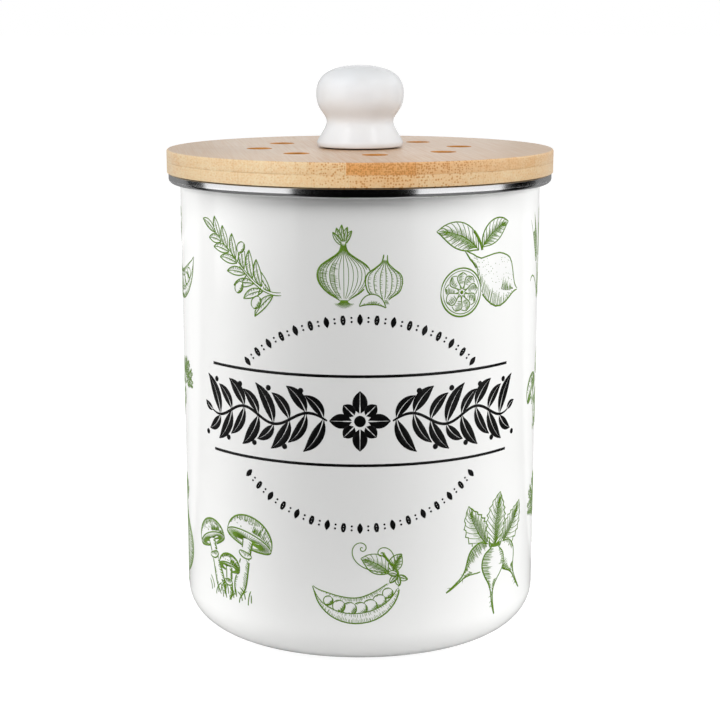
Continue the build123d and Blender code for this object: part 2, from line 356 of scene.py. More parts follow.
def fit(piece, material, body, slot, *nodes):
    """Gives a finished piece its material, if one comes, and its body, puts it in its light groups, the pale
    one unless its slot is the rim's polished steel, and hides the nodes it stands for.
    """
    if material:
        piece.data.materials.clear()
        piece.data.materials.append(material)
    lit_group("can" if body == "canister" else "lid").objects.link(piece)
    if slot != "polished_stainless":
        lit_group("pale").objects.link(piece)
    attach(piece, body)
    if nodes:
        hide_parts(*nodes)


# Materials


def add_node(tree, kind, inputs=(), **settings):
    """A new node of a kind. An input is a value or another node's output."""
    node = tree.nodes.new(kind)
    for name, value in settings.items():
        setattr(node, name, value)
    for name, value in dict(inputs).items():
        if isinstance(value, NodeSocket):
            tree.links.new(value, node.inputs[name])
        else:
            node.inputs[name].default_value = value
    return node


class Recipe:
    """The nodes of one material, with a Principled shader at their end."""

    def __init__(self, name, sockets):
        self.material = bpy.data.materials.new(name)
        self.material.use_nodes = True
        self.tree = self.material.node_tree
        self.shader = self.tree.nodes["Principled BSDF"]
        for socket, value in sockets.items():
            self.shader.inputs[socket].default_value = value
        self.object_place = self.add("ShaderNodeTexCoord").outputs["Object"]

    def add(self, kind, inputs=(), **settings):
        """A node in this material."""
        return add_node(self.tree, kind, inputs, **settings)

    def give(self, socket, value):
        """Links a node's output to the shader."""
        self.tree.links.new(value, self.shader.inputs[socket])

    def place(self, turn=0.0, scale=(1, 1, 1)):
        """Object coordinates, turned about Z and then scaled along each axis."""
        turned_place = self.add("ShaderNodeMapping", {0: self.object_place, "Rotation": (0, 0, turn)})
        scaled = self.add("ShaderNodeMapping", {0: turned_place.outputs[0], "Scale": scale})
        return scaled.outputs[0]

    def math(self, operation, first, second=0.0):
        """One sum, with values or outputs."""
        return self.add("ShaderNodeMath", {0: first, 1: second}, operation=operation).outputs[0]

    def times(self, *factors):
        """The product of values and outputs, the first of them an output."""
        product = factors[0]
        for factor in factors[1:]:
            product = self.math("MULTIPLY", product, factor)
        return product

    def centred(self, value):
        """A value from 0 to 1, moved to lie about 0."""
        return self.math("SUBTRACT", value, 0.5)

    def noise(self, place, scale=1.0, detail=2.0, roughness=0.5):
        """Noise from 0 to 1."""
        inputs = {"Vector": place, "Scale": scale, "Detail": detail, "Roughness": roughness}
        return self.add("ShaderNodeTexNoise", inputs).outputs[0]

    def ease(self, value, low, high, start=0.0, end=1.0, kind="SMOOTHSTEP"):
        """A value brought from one range to another, smoothly or in a straight line."""
        inputs = {"Value": value, "From Min": low, "From Max": high, "To Min": start, "To Max": end}
        return self.add("ShaderNodeMapRange", inputs, interpolation_type=kind).outputs[0]

    def mix(self, factor, first, second):
        """A colour between two colours."""
        inputs = {0: factor, 6: first, 7: second}
        return self.add("ShaderNodeMix", inputs, data_type="RGBA").outputs[2]

    def bump(self, height, strength, distance):
        """Bumps the shader's normal."""
        node = self.add("ShaderNodeBump", {"Height": height, "Strength": strength, "Distance": distance})
        self.give("Normal", node.outputs[0])


def rgba(tint, scale=1.0):
    """A colour with its alpha, made lighter or darker."""
    return (tint[0] * scale, tint[1] * scale, tint[2] * scale, 1.0)


def enamel(looks):
    """Fired enamel: white, glossy, hardly wavy, with faint specks."""
    recipe = Recipe("white_enamel", {"Specular IOR Level": 0.5})
    waves = recipe.noise(recipe.object_place, 55.0)
    specks = recipe.noise(recipe.object_place, 1900.0, detail=3.0, roughness=0.6)
    worn = recipe.ease(specks, 0.62, 0.78)
    recipe.give("Base Color", recipe.mix(worn, rgba(looks.enamel), rgba(looks.enamel, 0.94)))
    recipe.give("Roughness", recipe.ease(waves, 0.3, 0.7, start=0.10, end=0.16))
    recipe.bump(recipe.math("ADD", waves, recipe.times(specks, 0.05)), 0.10, 0.4 * MM)
    return recipe.material


def polished_steel(looks):
    """Polished stainless steel with faint turning lines and smudges."""
    recipe = Recipe("polished_stainless", {"Metallic": 1.0})
    lines = recipe.noise(recipe.place(scale=(25, 25, 5200)))
    smudges = recipe.noise(recipe.object_place, 38.0, detail=3.0)
    recipe.give("Base Color", recipe.mix(smudges, rgba(looks.steel), rgba(looks.steel, 0.93)))
    recipe.give("Roughness", recipe.ease(smudges, 0.3, 0.75, start=0.12, end=0.2))
    recipe.bump(lines, 0.04, 0.02 * MM)
    return recipe.material


def glaze(looks):
    """White glazed ceramic, softly wavy, a little thinner and warmer where it pooled less."""
    recipe = Recipe("white_glaze", {"Specular IOR Level": 0.45})
    waves = recipe.noise(recipe.object_place, 70.0)
    pinholes = recipe.ease(recipe.noise(recipe.object_place, 1500.0), 0.70, 0.80)
    thin = (looks.glaze[0] * 0.98, looks.glaze[1] * 0.97, looks.glaze[2] * 0.955, 1.0)
    ground = recipe.mix(recipe.ease(waves, 0.35, 0.8), rgba(looks.glaze), thin)
    recipe.give("Base Color", recipe.mix(pinholes, ground, rgba(looks.glaze, 0.9)))
    recipe.give("Roughness", recipe.ease(waves, 0.3, 0.7, start=0.17, end=0.22))
    recipe.bump(waves, 0.03, 0.5 * MM)
    return recipe.material


def strip_tones(recipe, across, width, joint, tones):
    """The share of amber in each strip of a ply, which changes at the glue lines."""
    strips = recipe.add("ShaderNodeValToRGB", {0: recipe.ease(across, -LID_R, LID_R, kind="LINEAR")})
    ramp = strips.color_ramp
    ramp.interpolation = "CONSTANT"
    first_joint = joint - width * ceil((LID_R + joint) / width) + width
    least_gap = 0.001
    for number, tone in enumerate(tones):
        spot = (first_joint + (number - 1) * width + LID_R) / (2 * LID_R)
        spot = max(least_gap * number, min(1 - least_gap, spot))
        stop = ramp.elements.new(spot) if number else ramp.elements[0]
        stop.color = (tone, tone, tone, 1.0)
    ramp.elements.remove(ramp.elements[-1])
    return strips.outputs[0]


def bamboo(name, looks, joint, tones, crowding, bundle_pitch):
    """Strips of bamboo with their fibre bundles: dots on the end grain, dashes and streaks along it."""
    recipe = Recipe(name, {"Coat Weight": 0.3, "Coat Roughness": 0.25, "Specular IOR Level": 0.5})
    turn = -looks.grain_turn
    across, along, up = recipe.add("ShaderNodeSeparateXYZ", {0: recipe.place(turn)}).outputs
    fine = recipe.noise(recipe.place(turn, (1500, 22, 1500)), detail=3.0, roughness=0.6)
    broad = recipe.noise(recipe.place(turn, (260, 7, 260)))
    wander = recipe.centred(broad)
    skin = (LID_HIGH - 0.12 * MM, LID_HIGH - 0.03 * MM)
    end_grain = recipe.ease(recipe.math("ABSOLUTE", across), 22 * MM, 58 * MM, start=1.0, end=0.3)

    # The ground has the tone of each strip, which drifts slowly. On top it is mixed nine tenths of the way to
    # one darker, greyer tone, a painted sheen and shade of the top face
    tone = strip_tones(recipe, across, looks.strip, joint, tones)
    drifting = recipe.math("ADD", tone, recipe.times(wander, 0.55))
    amber_share = recipe.add("ShaderNodeClamp", {0: drifting}).outputs[0]
    wood = recipe.mix(amber_share, rgba(looks.pale), rgba(looks.amber))
    ground = recipe.mix(recipe.ease(up, *skin, end=0.9), wood, rgba(looks.sanded))

    # Fibre bundles, closer together on the outer side of the culm, and long streaks. Both fade on top
    pattern = recipe.place(turn, (1 / bundle_pitch, 2.5 / LID_R, 1 / bundle_pitch))
    cells = {"Vector": pattern, "Scale": 1.0, "Randomness": 0.6}
    from_bundle = recipe.add("ShaderNodeTexVoronoi", cells).outputs["Distance"]
    crowded = recipe.math("ADD", recipe.times(recipe.ease(up, LID_LOW, LID_HIGH), crowding), 0.3)
    bundle_edge = recipe.math("ADD", recipe.times(amber_share, 0.12), crowded)
    bundles = recipe.ease(recipe.math("SUBTRACT", bundle_edge, from_bundle), -0.08, 0.12)
    in_wood = recipe.ease(up, *skin, start=1.0, end=0.3)
    clear = recipe.times(end_grain, in_wood, recipe.ease(amber_share, 0.0, 0.3, start=0.6))
    bundled = recipe.mix(recipe.times(bundles, clear), ground, rgba(looks.fibre, 0.85))
    streak = recipe.times(recipe.ease(fine, 0.35, 0.72, end=0.34), in_wood)
    streaked = recipe.mix(streak, bundled, rgba(looks.fibre, 1.1))

    # A node across each strip at its own place, glue lines, and the seam between the plies
    steps = recipe.math("DIVIDE", recipe.math("SUBTRACT", across, joint), looks.strip)
    strip_number = {"W": recipe.math("FLOOR", steps)}
    chance = recipe.add("ShaderNodeTexWhiteNoise", strip_number, noise_dimensions="1D").outputs["Value"]
    past_node = recipe.math("SUBTRACT", along, recipe.times(recipe.centred(chance), 0.24))
    from_node = recipe.math("ABSOLUTE", recipe.math("ADD", past_node, recipe.times(wander, 2.5 * MM)))
    node_line = recipe.ease(from_node, 1.3 * MM, 0.3 * MM, end=0.38)
    marked = recipe.mix(node_line, streaked, rgba(looks.fibre, 0.8))
    off_middle = recipe.math("ABSOLUTE", recipe.centred(recipe.math("FRACT", steps)))
    glued = recipe.mix(recipe.ease(off_middle, 0.4935, 0.4985, end=0.45), marked, rgba(looks.fibre, 0.75))
    off_seam = recipe.math("ABSOLUTE", recipe.math("SUBTRACT", up, PLY_LINE))
    beside_ends = recipe.ease(end_grain, 0.95, 0.5, start=0.1, end=0.34)
    here_open = recipe.ease(broad, 0.4, 0.6, start=0.3)
    seam = recipe.times(recipe.ease(off_seam, 0.3 * MM, 0.12 * MM), beside_ends, here_open)
    recipe.give("Base Color", recipe.mix(seam, glued, rgba(looks.fibre, 0.6)))

    recipe.give("Roughness", recipe.ease(fine, 0.2, 0.8, start=0.34, end=0.5))
    recipe.bump(recipe.math("SUBTRACT", fine, recipe.times(bundles, 0.35)), 0.14, 0.06 * MM)
    return recipe.material


def bored_bamboo(looks):
    """The walls of the bored vents: darker and more orange than the board, with the drill's rings. The
    darkness is partly painted shade inside the holes, over the bored wood's own orange.
    """
    recipe = Recipe("bamboo_bored", {"Specular IOR Level": 0.3})
    rings = recipe.noise(recipe.place(scale=(120, 120, 2600)))
    cloud = recipe.noise(recipe.object_place, 420.0)
    tint = recipe.mix(cloud, rgba(looks.scorched), rgba(looks.scorched, 0.6))
    burnt = recipe.ease(rings, 0.45, 0.75, end=0.5)
    recipe.give("Base Color", recipe.mix(burnt, tint, rgba(looks.scorched, 0.4)))
    recipe.give("Roughness", recipe.ease(rings, 0.3, 0.7, start=0.5, end=0.7))
    recipe.bump(rings, 0.3, 0.08 * MM)
    return recipe.material


def felt():
    """Needled charcoal felt: near black, matt, with grey fibres and glints of carbon."""
    recipe = Recipe("charcoal_felt", {"Roughness": 0.95, "Sheen Weight": 0.35, "Sheen Roughness": 0.5})
    tuft = recipe.noise(recipe.object_place, 300.0)
    long_way = recipe.noise(recipe.place(0.5, (900, 5200, 2500)), detail=3.0, roughness=0.65)
    cross_way = recipe.noise(recipe.place(-0.7, (5200, 900, 2500)), detail=3.0, roughness=0.65)
    fibres = recipe.math("MAXIMUM", long_way, cross_way)
    grains = {"Vector": recipe.object_place, "Scale": 2600.0}
    glint = recipe.ease(recipe.add("ShaderNodeTexVoronoi", grains).outputs["Distance"], 0.16, 0.05)
    base = recipe.mix(recipe.ease(fibres, 0.5, 0.8), (0.014, 0.014, 0.016, 1), (0.085, 0.085, 0.09, 1))
    patchy = recipe.mix(recipe.ease(tuft, 0.4, 0.75, end=0.4), base, (0.03, 0.03, 0.034, 1))
    recipe.give("Base Color", recipe.mix(glint, patchy, (0.20, 0.20, 0.21, 1)))
    recipe.bump(recipe.math("ADD", fibres, tuft), 0.8, 0.5 * MM)
    return recipe.material


def silicone():
    """Milky silicone with a satin moulded skin."""
    recipe = Recipe("clear_silicone", {"Subsurface Weight": 0.35, "Subsurface Scale": 1.5 * MM})
    cloud = recipe.noise(recipe.object_place, 160.0)
    recipe.give("Base Color", recipe.mix(cloud, (0.74, 0.76, 0.74, 1), (0.66, 0.69, 0.68, 1)))
    recipe.give("Roughness", recipe.ease(cloud, 0.3, 0.7, start=0.34, end=0.46))
    recipe.bump(recipe.noise(recipe.object_place, 2400.0), 0.08, 0.05 * MM)
    return recipe.material


def rubber():
    """Black rubber sheet with a fine tooth."""
    recipe = Recipe("dark_rubber", {"Roughness": 0.62})
    tooth = recipe.noise(recipe.object_place, 2600.0, detail=3.0)
    recipe.give("Base Color", recipe.mix(tooth, (0.022, 0.021, 0.020, 1), (0.045, 0.043, 0.040, 1)))
    recipe.bump(tooth, 0.3, 0.1 * MM)
    return recipe.material


def metal(name, tint, roughness, lines, strength):
    """Satin metal with machining lines along one or more axes."""
    recipe = Recipe(name, {"Metallic": 1.0})
    marks = recipe.noise(recipe.place(scale=lines), detail=3.0, roughness=0.6)
    cloud = recipe.noise(recipe.object_place, 220.0)
    recipe.give("Base Color", recipe.mix(cloud, rgba(tint), rgba(tint, 0.86)))
    recipe.give("Roughness", recipe.ease(marks, 0.25, 0.75, start=0.75 * roughness, end=1.3 * roughness))
    recipe.bump(marks, strength, 0.04 * MM)
    return recipe.material


def ink(name, tint, thin):
    """Fired ink, glossy like the enamel, a little uneven where it was laid thin."""
    recipe = Recipe(name, {"Specular IOR Level": 0.25})
    laid = recipe.noise(recipe.object_place, 650.0, detail=3.0, roughness=0.6)
    paler = tuple(channel + (1 - channel) * thin for channel in tint)
    recipe.give("Base Color", recipe.mix(recipe.ease(laid, 0.45, 0.8), rgba(tint), rgba(paler)))
    recipe.give("Roughness", recipe.ease(laid, 0.3, 0.7, start=0.16, end=0.26))
    return recipe.material


# The can and its rim


class CADDY_OT_can(Operator):
    """Draw the enamelled can from one sheet: base panel, standing ring, foot corner, wall and flange"""

    bl_idname = "caddy.can"
    bl_label = "Enamelled Can"

    def execute(self, context):
        looks = context.scene.caddy_can
        panel = WALL_R - looks.corner - looks.foot
        flange_high = RIM_HIGH - looks.rim_sheet - looks.rim_fit
        flange_r = RIM_R - looks.rim_sheet - looks.rim_fit - looks.sheet
        corners = [
            (0, looks.base_raise),
            (panel - looks.base_slope, looks.base_raise),
            (panel, 0),
            (WALL_R, 0),
            (WALL_R, flange_high - looks.sheet),
            (flange_r, flange_high - looks.sheet),
            (flange_r, RIM_LOW + looks.rim_corner),
        ]
        bends = [looks.base_bend, looks.base_bend, looks.corner, looks.neck_bend, looks.flange_bend]
        shell = turned("can_shell", rounded(corners, bends, steps=12), thickness=looks.sheet)
        fit(shell, enamel(looks), "canister", "white_enamel", "enamelled_can")
        return {"FINISHED"}


class CADDY_OT_rim(Operator):
    """Press the polished stainless band over the can's flange"""

    bl_idname = "caddy.rim"
    bl_label = "Rim Band"

    def execute(self, context):
        looks = context.scene.caddy_can
        corners = [
            (WALL_R + looks.neck_bend, RIM_HIGH),
            (RIM_R, RIM_HIGH),
            (RIM_R, RIM_LOW),
            (WALL_R + looks.rim_wall_gap, RIM_LOW),
        ]
        profile = rounded(corners, [looks.rim_shoulder, looks.rim_corner], steps=10)
        band = turned("rim_channel", profile, thickness=looks.rim_sheet)
        fit(band, polished_steel(looks), "canister", "polished_stainless", "rim_band")
        return {"FINISHED"}


# The print, drawn in millimetres on the unrolled wall: x to the right, y up


def through(values, t):
    """A smooth curve through evenly spaced values."""
    last = len(values) - 1
    first = min(int(max(0, min(1, t)) * last), last - 1)
    f = max(0, min(1, t)) * last - first
    a, b, c, d = (values[max(0, min(last, first + step))] for step in (-1, 0, 1, 2))
    return b + 0.5 * f * (c - a + f * (2 * a - 5 * b + 4 * c - d + f * (3 * (b - c) + d - a)))


class Body:
    """A shape along a bent spine, such as a leaf, a root or a pod. A side share of 1 is its edge."""

    def __init__(self, spine, wide, *stations, under=1.0):
        self.spine = spine
        self.wide = wide
        self.stations = stations
        self.under = under

    def middle(self, t):
        """The point at a share of the spine."""
        return on_curve(self.spine, t)

    def ahead(self, t):
        """The direction of the spine there."""
        return (self.middle(t + 0.01) - self.middle(t - 0.01)).normalized()

    def half(self, t):
        """The half width there, through the stations or else as in an ellipse."""
        if self.stations:
            return self.wide * max(0, through(self.stations, t))
        return self.wide * 2 * max(0, t * (1 - t)) ** 0.5

    def at(self, t, side):
        """The point at a share of the spine and a share of the half width."""
        ahead = self.ahead(t)
        out = self.half(t) * side * (self.under if side < 0 else 1)
        return self.middle(t) + Vector((-ahead.y, ahead.x)) * out

    def ring(self):
        """The whole edge, as a closed row of points."""
        steps = 14
        shares = [(1 - cos(pi * n / steps)) / 2 for n in range(steps + 1)]
        return [self.at(t, 1) for t in shares] + [self.at(t, -1) for t in reversed(shares)]


def leaf_body(base, tip, wide, bend, *stations):
    """The body of a leaf from base to tip, with its spine bent to one side."""
    base, tip = Vector(base), Vector(tip)
    along = tip - base
    across = Vector((-along.y, along.x)) * bend
    return Body((base, base + along * 0.3 + across, base + along * 0.72 + across, tip), wide, *stations)


class Drawing:
    """The strokes of one motif. Each stroke is a row of points with half widths."""

    weight = 1.5

    def __init__(self, seed):
        self.chance = Random(seed)
        self.fine = []
        self.broad = []

    def line(self, points, half, start=0.4, end=0.4, broad=False):
        """A stroke that swells from its start and thins to its end."""
        last = len(points) - 1
        half *= 1 if broad else self.weight
        row = []
        for n, point in enumerate(points):
            row.append((point, half * min(1, start + 4 * n / last, end + 4 - 4 * n / last)))
        (self.broad if broad else self.fine).append(row)

    def curve(self, controls, half, steps=12, **ends):
        self.line(bezier(controls, steps), half, **ends)

    def dot(self, centre, radius, broad=False):
        """A round dot."""
        steps = 12 if broad else 6
        row = []
        for n in range(steps + 1):
            turn = pi * n / steps
            half = max(0.12 * radius, radius * sin(turn))
            row.append((Vector(centre) + Vector((-cos(turn) * radius, 0)), half))
        (self.broad if broad else self.fine).append(row)

    def clear(self, ring):
        """Rubs out what lies inside a closed row of points, so that a shape can be drawn in front."""
        low_x, high_x = min(p.x for p in ring), max(p.x for p in ring)
        low_y, high_y = min(p.y for p in ring), max(p.y for p in ring)
        sides = list(zip(ring, ring[1:] + ring[:1]))

        def inside(point):
            if not (low_x < point.x < high_x and low_y < point.y < high_y):
                return False
            crossings = 0
            for a, b in sides:
                if (a.y > point.y) != (b.y > point.y):
                    crossings += point.x < a.x + (b.x - a.x) * (point.y - a.y) / (b.y - a.y)
            return crossings % 2 == 1

        kept = []
        for stroke in self.fine:
            run = []
            for point, half in stroke:
                if inside(point):
                    if len(run) > 1:
                        kept.append(run)
                    run = []
                else:
                    run.append((point, half))
            if len(run) > 1:
                kept.append(run)
        self.fine = kept

    def edge(self, body, side, half, first=0.0, last=1.0, steps=20, ruffle=0.0, waves=9):
        """A line along a body, at a share of its half width."""
        points = []
        for n in range(steps + 1):
            t = first + (last - first) * (1 - cos(pi * n / steps)) / 2
            points.append(body.at(t, side * (1 + ruffle * sin(2 * pi * waves * t))))
        self.line(points, half)

    def outline(self, body, half=0.17, **settings):
        self.clear(body.ring())
        self.edge(body, 1, half, **settings)
        self.edge(body, -1, half * 1.25, **settings)

    def hatch(self, body, count, first, last, edge, depth, lean=0.0, half=0.08):
        """Fine strokes from a place across a body towards another, side by side along it."""
        for n in range(count):
            t = first + (last - first) * (n + self.chance.random() * 0.7) / count
            goal = edge + depth * self.chance.uniform(0.45, 1)
            shares = (0, 0.25, 0.5, 0.75, 1)
            points = [body.at(t + lean * share, edge + (goal - edge) * share) for share in shares]
            self.line(points, half, start=1, end=0.35)

    def leaf(self, base, tip, wide, bend=0.1, veins=6, ruffle=0.0, dark=-1):
        """A leaf with its midrib, its veins and the shade between them."""
        body = leaf_body(base, tip, wide, bend, 0.02, 0.6, 0.92, 1, 0.86, 0.5, 0.02)
        self.outline(body, 0.16, ruffle=ruffle, steps=40 if ruffle else 20)
        self.edge(body, 0, 0.14, 0.0, 0.95)
        self.edge(body, 0.05, 0.07, 0.0, 0.5)
        gap = 0.8 / max(veins, 1)
        slant = 0.19
        for n in range(veins):
            t = 0.05 + gap * n
            for side in (-1, 1):
                rise = [(share, side * 0.95 * share ** 0.9) for share in (0, 0.2, 0.4, 0.6, 0.8, 1)]
                self.line([body.at(t + slant * share, u) for share, u in rise], 0.1, start=1, end=0.4)
                many = 5 if side == dark else 3
                for m in range(many):
                    start = t + gap * (m + 0.8) / (many + 0.6)
                    deep = self.chance.uniform(0.3, 0.85) if side == dark else self.chance.uniform(0.15, 0.5)
                    row = []
                    for share in (0, 0.5, 1):
                        row.append(body.at(start + slant * share * deep, side * (0.05 + deep * share)))
                    self.line(row, 0.07, start=1, end=0.35)
        if not veins:
            self.hatch(body, 16, 0.08, 0.9, dark * 0.95, -dark * 0.8, 0.05, 0.07)
            self.hatch(body, 7, 0.1, 0.6, -dark * 0.06, -dark * 0.45, 0.07, 0.06)

    def ball(self, centre, radius, squeeze=1.0, turn=0.0):
        """A round fruit or seed with a lit side."""
        reach = Vector((cos(turn), sin(turn))) * radius
        body = Body((Vector(centre) - reach, Vector(centre) + reach), radius * squeeze)
        self.outline(body, 0.17)
        self.hatch(body, int(8 + 3 * radius), 0.08, 0.92, -0.98, 0.75, 0.0, 0.08)
        self.hatch(body, int(4 + radius), 0.1, 0.45, 0.97, -0.3, 0.0, 0.06)
        return body


def unit(degrees):
    """A direction in the drawing."""
    return Vector((cos(radians(degrees)), sin(radians(degrees))))


def olive_branch(d):
    """An olive branch with narrow leaves and three fruits."""
    stem = Body(((-24, -11), (-10, -15), (4, 4), (20, 11)), 0.7, 1, 0.8, 0.55, 0.3)
    d.outline(stem, 0.13)
    for n in range(7):
        t = 0.1 + 0.13 * n
        course = stem.ahead(t)
        for side in (1, -1):
            spread = Matrix.Rotation(radians(side * (52 - 4 * n + d.chance.uniform(-6, 6))), 2)
            way = spread @ course
            root = stem.middle(t + 0.02 * side)
            size = (15.5 - 0.6 * n) * d.chance.uniform(0.88, 1.08)
            d.leaf(root + way, root + way * size, 2.1, bend=-0.10 * side, veins=0, dark=-side)
    tip = stem.middle(1)
    d.leaf(tip, tip + stem.ahead(1) * 12, 1.9, veins=0)
    for t, drop, size in ((0.27, (2.0, -7.5), 3.3), (0.47, (4.5, -7.0), 3.1), (0.62, (-1.5, 7.5), 2.9)):
        root = stem.middle(t)
        centre = root + Vector(drop)
        d.curve((root, root + Vector(drop) * 0.3, centre), 0.2, start=1, end=1)
        d.ball(centre, size, 0.78, turn=radians(-60))


def lemon(d):
    """A lemon with two leaves, and half a lemon in front of it."""
    d.leaf((3, 9), (24, 17), 5.4, bend=0.14, veins=8)
    d.leaf((1, 10), (-15, 20), 4.6, bend=-0.14, veins=7, dark=1)
    d.curve(((1, 9), (2, 13), (6, 17)), 0.4, start=1, end=1)
    widths = (0.02, 0.2, 0.62, 0.93, 1, 0.96, 0.84, 0.56, 0.2, 0.12, 0.02)
    fruit = Body(((-24, -9), (-8, -5), (10, 9)), 11, *widths)
    d.outline(fruit, 0.19)
    d.hatch(fruit, 42, 0.1, 0.9, -0.98, 0.55, 0.03)
    d.hatch(fruit, 24, 0.1, 0.34, -0.3, 0.5, 0.02, 0.06)
    for _ in range(90):
        pore = fruit.at(d.chance.uniform(0.16, 0.88), d.chance.uniform(-0.7, 0.9))
        d.dot(pore, d.chance.uniform(0.12, 0.2))
    centre = Vector((11, -8))
    half = Body((centre + Vector((-10, 0)), centre + Vector((10, 0))), 10)
    d.outline(half, 0.2, steps=32)
    pith = Body((centre + Vector((-8.9, 0)), centre + Vector((8.9, 0))), 8.9)
    d.outline(pith, 0.1, steps=32)
    for n in range(9):
        way = unit(40 * n + 12)
        piece = Body((centre + way * 1.3, centre + way * 8.3), 2.65, 0.04, 0.3, 0.6, 0.88, 1, 0.72, 0.04)
        d.outline(piece, 0.12, steps=14)
        d.hatch(piece, 13, 0.3, 0.97, -0.75, 1.3, 0.05, 0.06)
    d.dot(centre, 0.8)


def mushroom(d, foot, neck, wide, high, stout):
    """One mushroom, seen a little from below."""
    foot, neck = Vector(foot), Vector(neck)
    lean = (neck - foot).normalized()
    level = Vector((lean.y, -lean.x))
    crown = neck + lean * high * 0.1
    dome = Body((neck - level * wide, crown, neck + level * wide), high, under=0.26 * wide / high)
    d.outline(dome, 0.2, steps=28)
    d.hatch(dome, 34, 0.04, 0.96, 0.97, -0.3, 0.0, 0.08)
    d.hatch(dome, 26, 0.55, 0.96, 0.3, 0.5, 0.02, 0.08)
    for _ in range(18):
        d.dot(dome.at(d.chance.uniform(0.2, 0.6), d.chance.uniform(0.45, 0.9)), d.chance.uniform(0.12, 0.26))
    out = level * wide * 0.99
    rim = Body((neck - out, crown, neck + out), wide * 0.27)
    d.outline(rim, 0.17, steps=28)
    for n in range(54):
        way = unit(360 * n / 54)
        start = neck + level * way.x * wide * 0.24 + lean * way.y * wide * 0.07
        end = neck + level * way.x * wide * 0.95 + lean * way.y * wide * 0.25
        d.line([start, start.lerp(end, 0.5), end], 0.075, start=1, end=0.6)
    spine = (foot, foot.lerp(neck, 0.5) + level * 0.7, neck + lean * 0.3)
    stem = Body(spine, stout, 0.5, 1.05, 1, 0.84, 0.78, 0.85)
    d.outline(stem, 0.17)
    d.hatch(stem, 34, 0.04, 0.97, -0.97, 0.8, 0.03)
    d.hatch(stem, 12, 0.1, 0.5, 0.95, -0.4, 0.03, 0.06)
    low = neck - lean * 5
    out = level * stout * 1.15
    collar = Body((low - out, neck - lean * 6, low + out), 1.2)
    d.outline(collar, 0.14, steps=12)
    d.hatch(collar, 11, 0.1, 0.95, 0.9, -1.4, 0.0, 0.06)


def mushrooms(d):
    """Three mushrooms from one foot, with a little grass."""
    mushroom(d, (6, -17), (11, 5), 10.5, 9, 2.6)
    mushroom(d, (-2, -18), (-9, 1), 8.5, 7.5, 2.3)
    mushroom(d, (1, -19), (1.5, -7), 5.6, 5, 1.8)
    for n in range(16):
        root = Vector((-9 + 1.45 * n, -18 + 1.1 * sin(n * 2.1)))
        lean = d.chance.uniform(-4, 4)
        tall = d.chance.uniform(2.5, 6)
        blade = (root, root + Vector((0, tall * 0.6)), root + Vector((lean, tall)))
        d.curve(blade, 0.15, 6, start=1, end=0.3)


def wheat_ear(d, foot, bend, neck, tip):
    """One ear of wheat on its stalk."""
    d.curve((foot, bend, neck), 0.26, 20, start=1, end=0.9)
    ear = Body((neck, Vector(neck).lerp(Vector(tip), 0.5) + Vector((0.8, 0)), tip), 1, 1, 1)
    for n in range(10):
        t = 0.97 - 0.1 * n
        course = ear.ahead(t)
        for side in (1, -1):
            way = Matrix.Rotation(radians(side * 27), 2) @ course
            root = ear.middle(t - 0.02 * (side > 0))
            tail = root + way * 5.4
            awn = Matrix.Rotation(radians(side * 9), 2) @ course
            d.line([tail, tail + awn * 4 + way, tail + awn * 9 + way], 0.1, start=1, end=0.3)
            grain = Body((root, root + way * 2.8 + course * 0.5, tail), 1.45, 0.05, 0.8, 1, 0.75, 0.08)
            d.outline(grain, 0.15, steps=10)
            d.hatch(grain, 7, 0.1, 0.85, -side * 0.9, side * 1.1, 0.1, 0.07)


def wheat(d):
    """Three ears of wheat, tied low, with two blades."""
    d.curve(((-2, -20), (-10, -8), (-19, -6), (-21, -12)), 0.3, 18)
    d.curve(((1, -20), (6, -7), (17, -8), (20, -2)), 0.3, 18)
    wheat_ear(d, (-3, -22), (-2, -6), (-7, -1), (-15, 15))
    wheat_ear(d, (3, -22), (1, -6), (7, -2), (14, 14))
    wheat_ear(d, (0, -23), (0, -10), (0, 2), (0, 19))
    for n in range(4):
        d.curve(((-3.2, -14.6 - n * 0.6), (0, -15.4 - n * 0.6), (3.2, -14.6 - n * 0.6)), 0.2, 8)
    d.curve(((2.5, -16), (6, -17), (8, -21)), 0.2, 8)
    d.curve(((2, -16.5), (3, -19), (7, -20)), 0.2, 8)


def tendril(d, root, turn, size, way=1):
    """A thread that winds up into a coil."""
    root = Vector(root)
    points = []
    steps = 45
    for n in range(steps + 1):
        t = n / steps
        swing = radians(turn) + way * 11 * t * t
        points.append(root)
        root = root + Vector((cos(swing), sin(swing))) * size * (1.1 - t) * 0.07
    d.line(points, 0.17, start=1, end=0.5)


def pea_pod(d):
    """An open pod full of peas, with a leaf and tendrils."""
    d.leaf((-17, 8), (-2, 18), 5.2, bend=0.1, veins=6)
    d.leaf((-18, 8), (-24, 18), 3.6, bend=-0.1, veins=5, dark=1)
    tendril(d, (-19, 8), 100, 15, -1)
    tendril(d, (-15, 8.5), 15, 22, 1)
    spine = ((-21, 6), (-12, -15), (12, -17), (25, 4))
    shell = Body(spine, 7.2, 0.1, 0.62, 0.9, 1, 1, 0.97, 0.85, 0.55, 0.03)
    d.outline(shell, 0.2, steps=30)
    d.hatch(shell, 56, 0.04, 0.97, 0.98, -0.34, 0.0, 0.08)
    for n in range(7):
        t = 0.17 + 0.11 * n
        d.ball(shell.at(t, 0.12), 0.52 * shell.half(t), turn=radians(-40))
    shares = [n / 30 for n in range(31)]
    lip = [shell.at(t, -1 + 0.78 * sin(pi * t) ** 0.6) for t in shares]
    d.clear(lip + [shell.at(t, -1.02) for t in reversed(shares)])
    d.line(lip, 0.18)
    d.edge(shell, -1, 0.24, steps=30)
    d.hatch(shell, 70, 0.05, 0.95, -0.98, 0.42)
    d.hatch(shell, 34, 0.16, 0.84, -0.3, -0.3)
    for way in (-150, -95, -40, 20):
        root = Vector((-21, 6.5))
        d.leaf(root, root + unit(way) * 6, 1.5, veins=0)
    d.curve(((-21, 6.5), (-22, 10), (-16, 14), (-14, 20)), 0.42, 14, start=1, end=1)


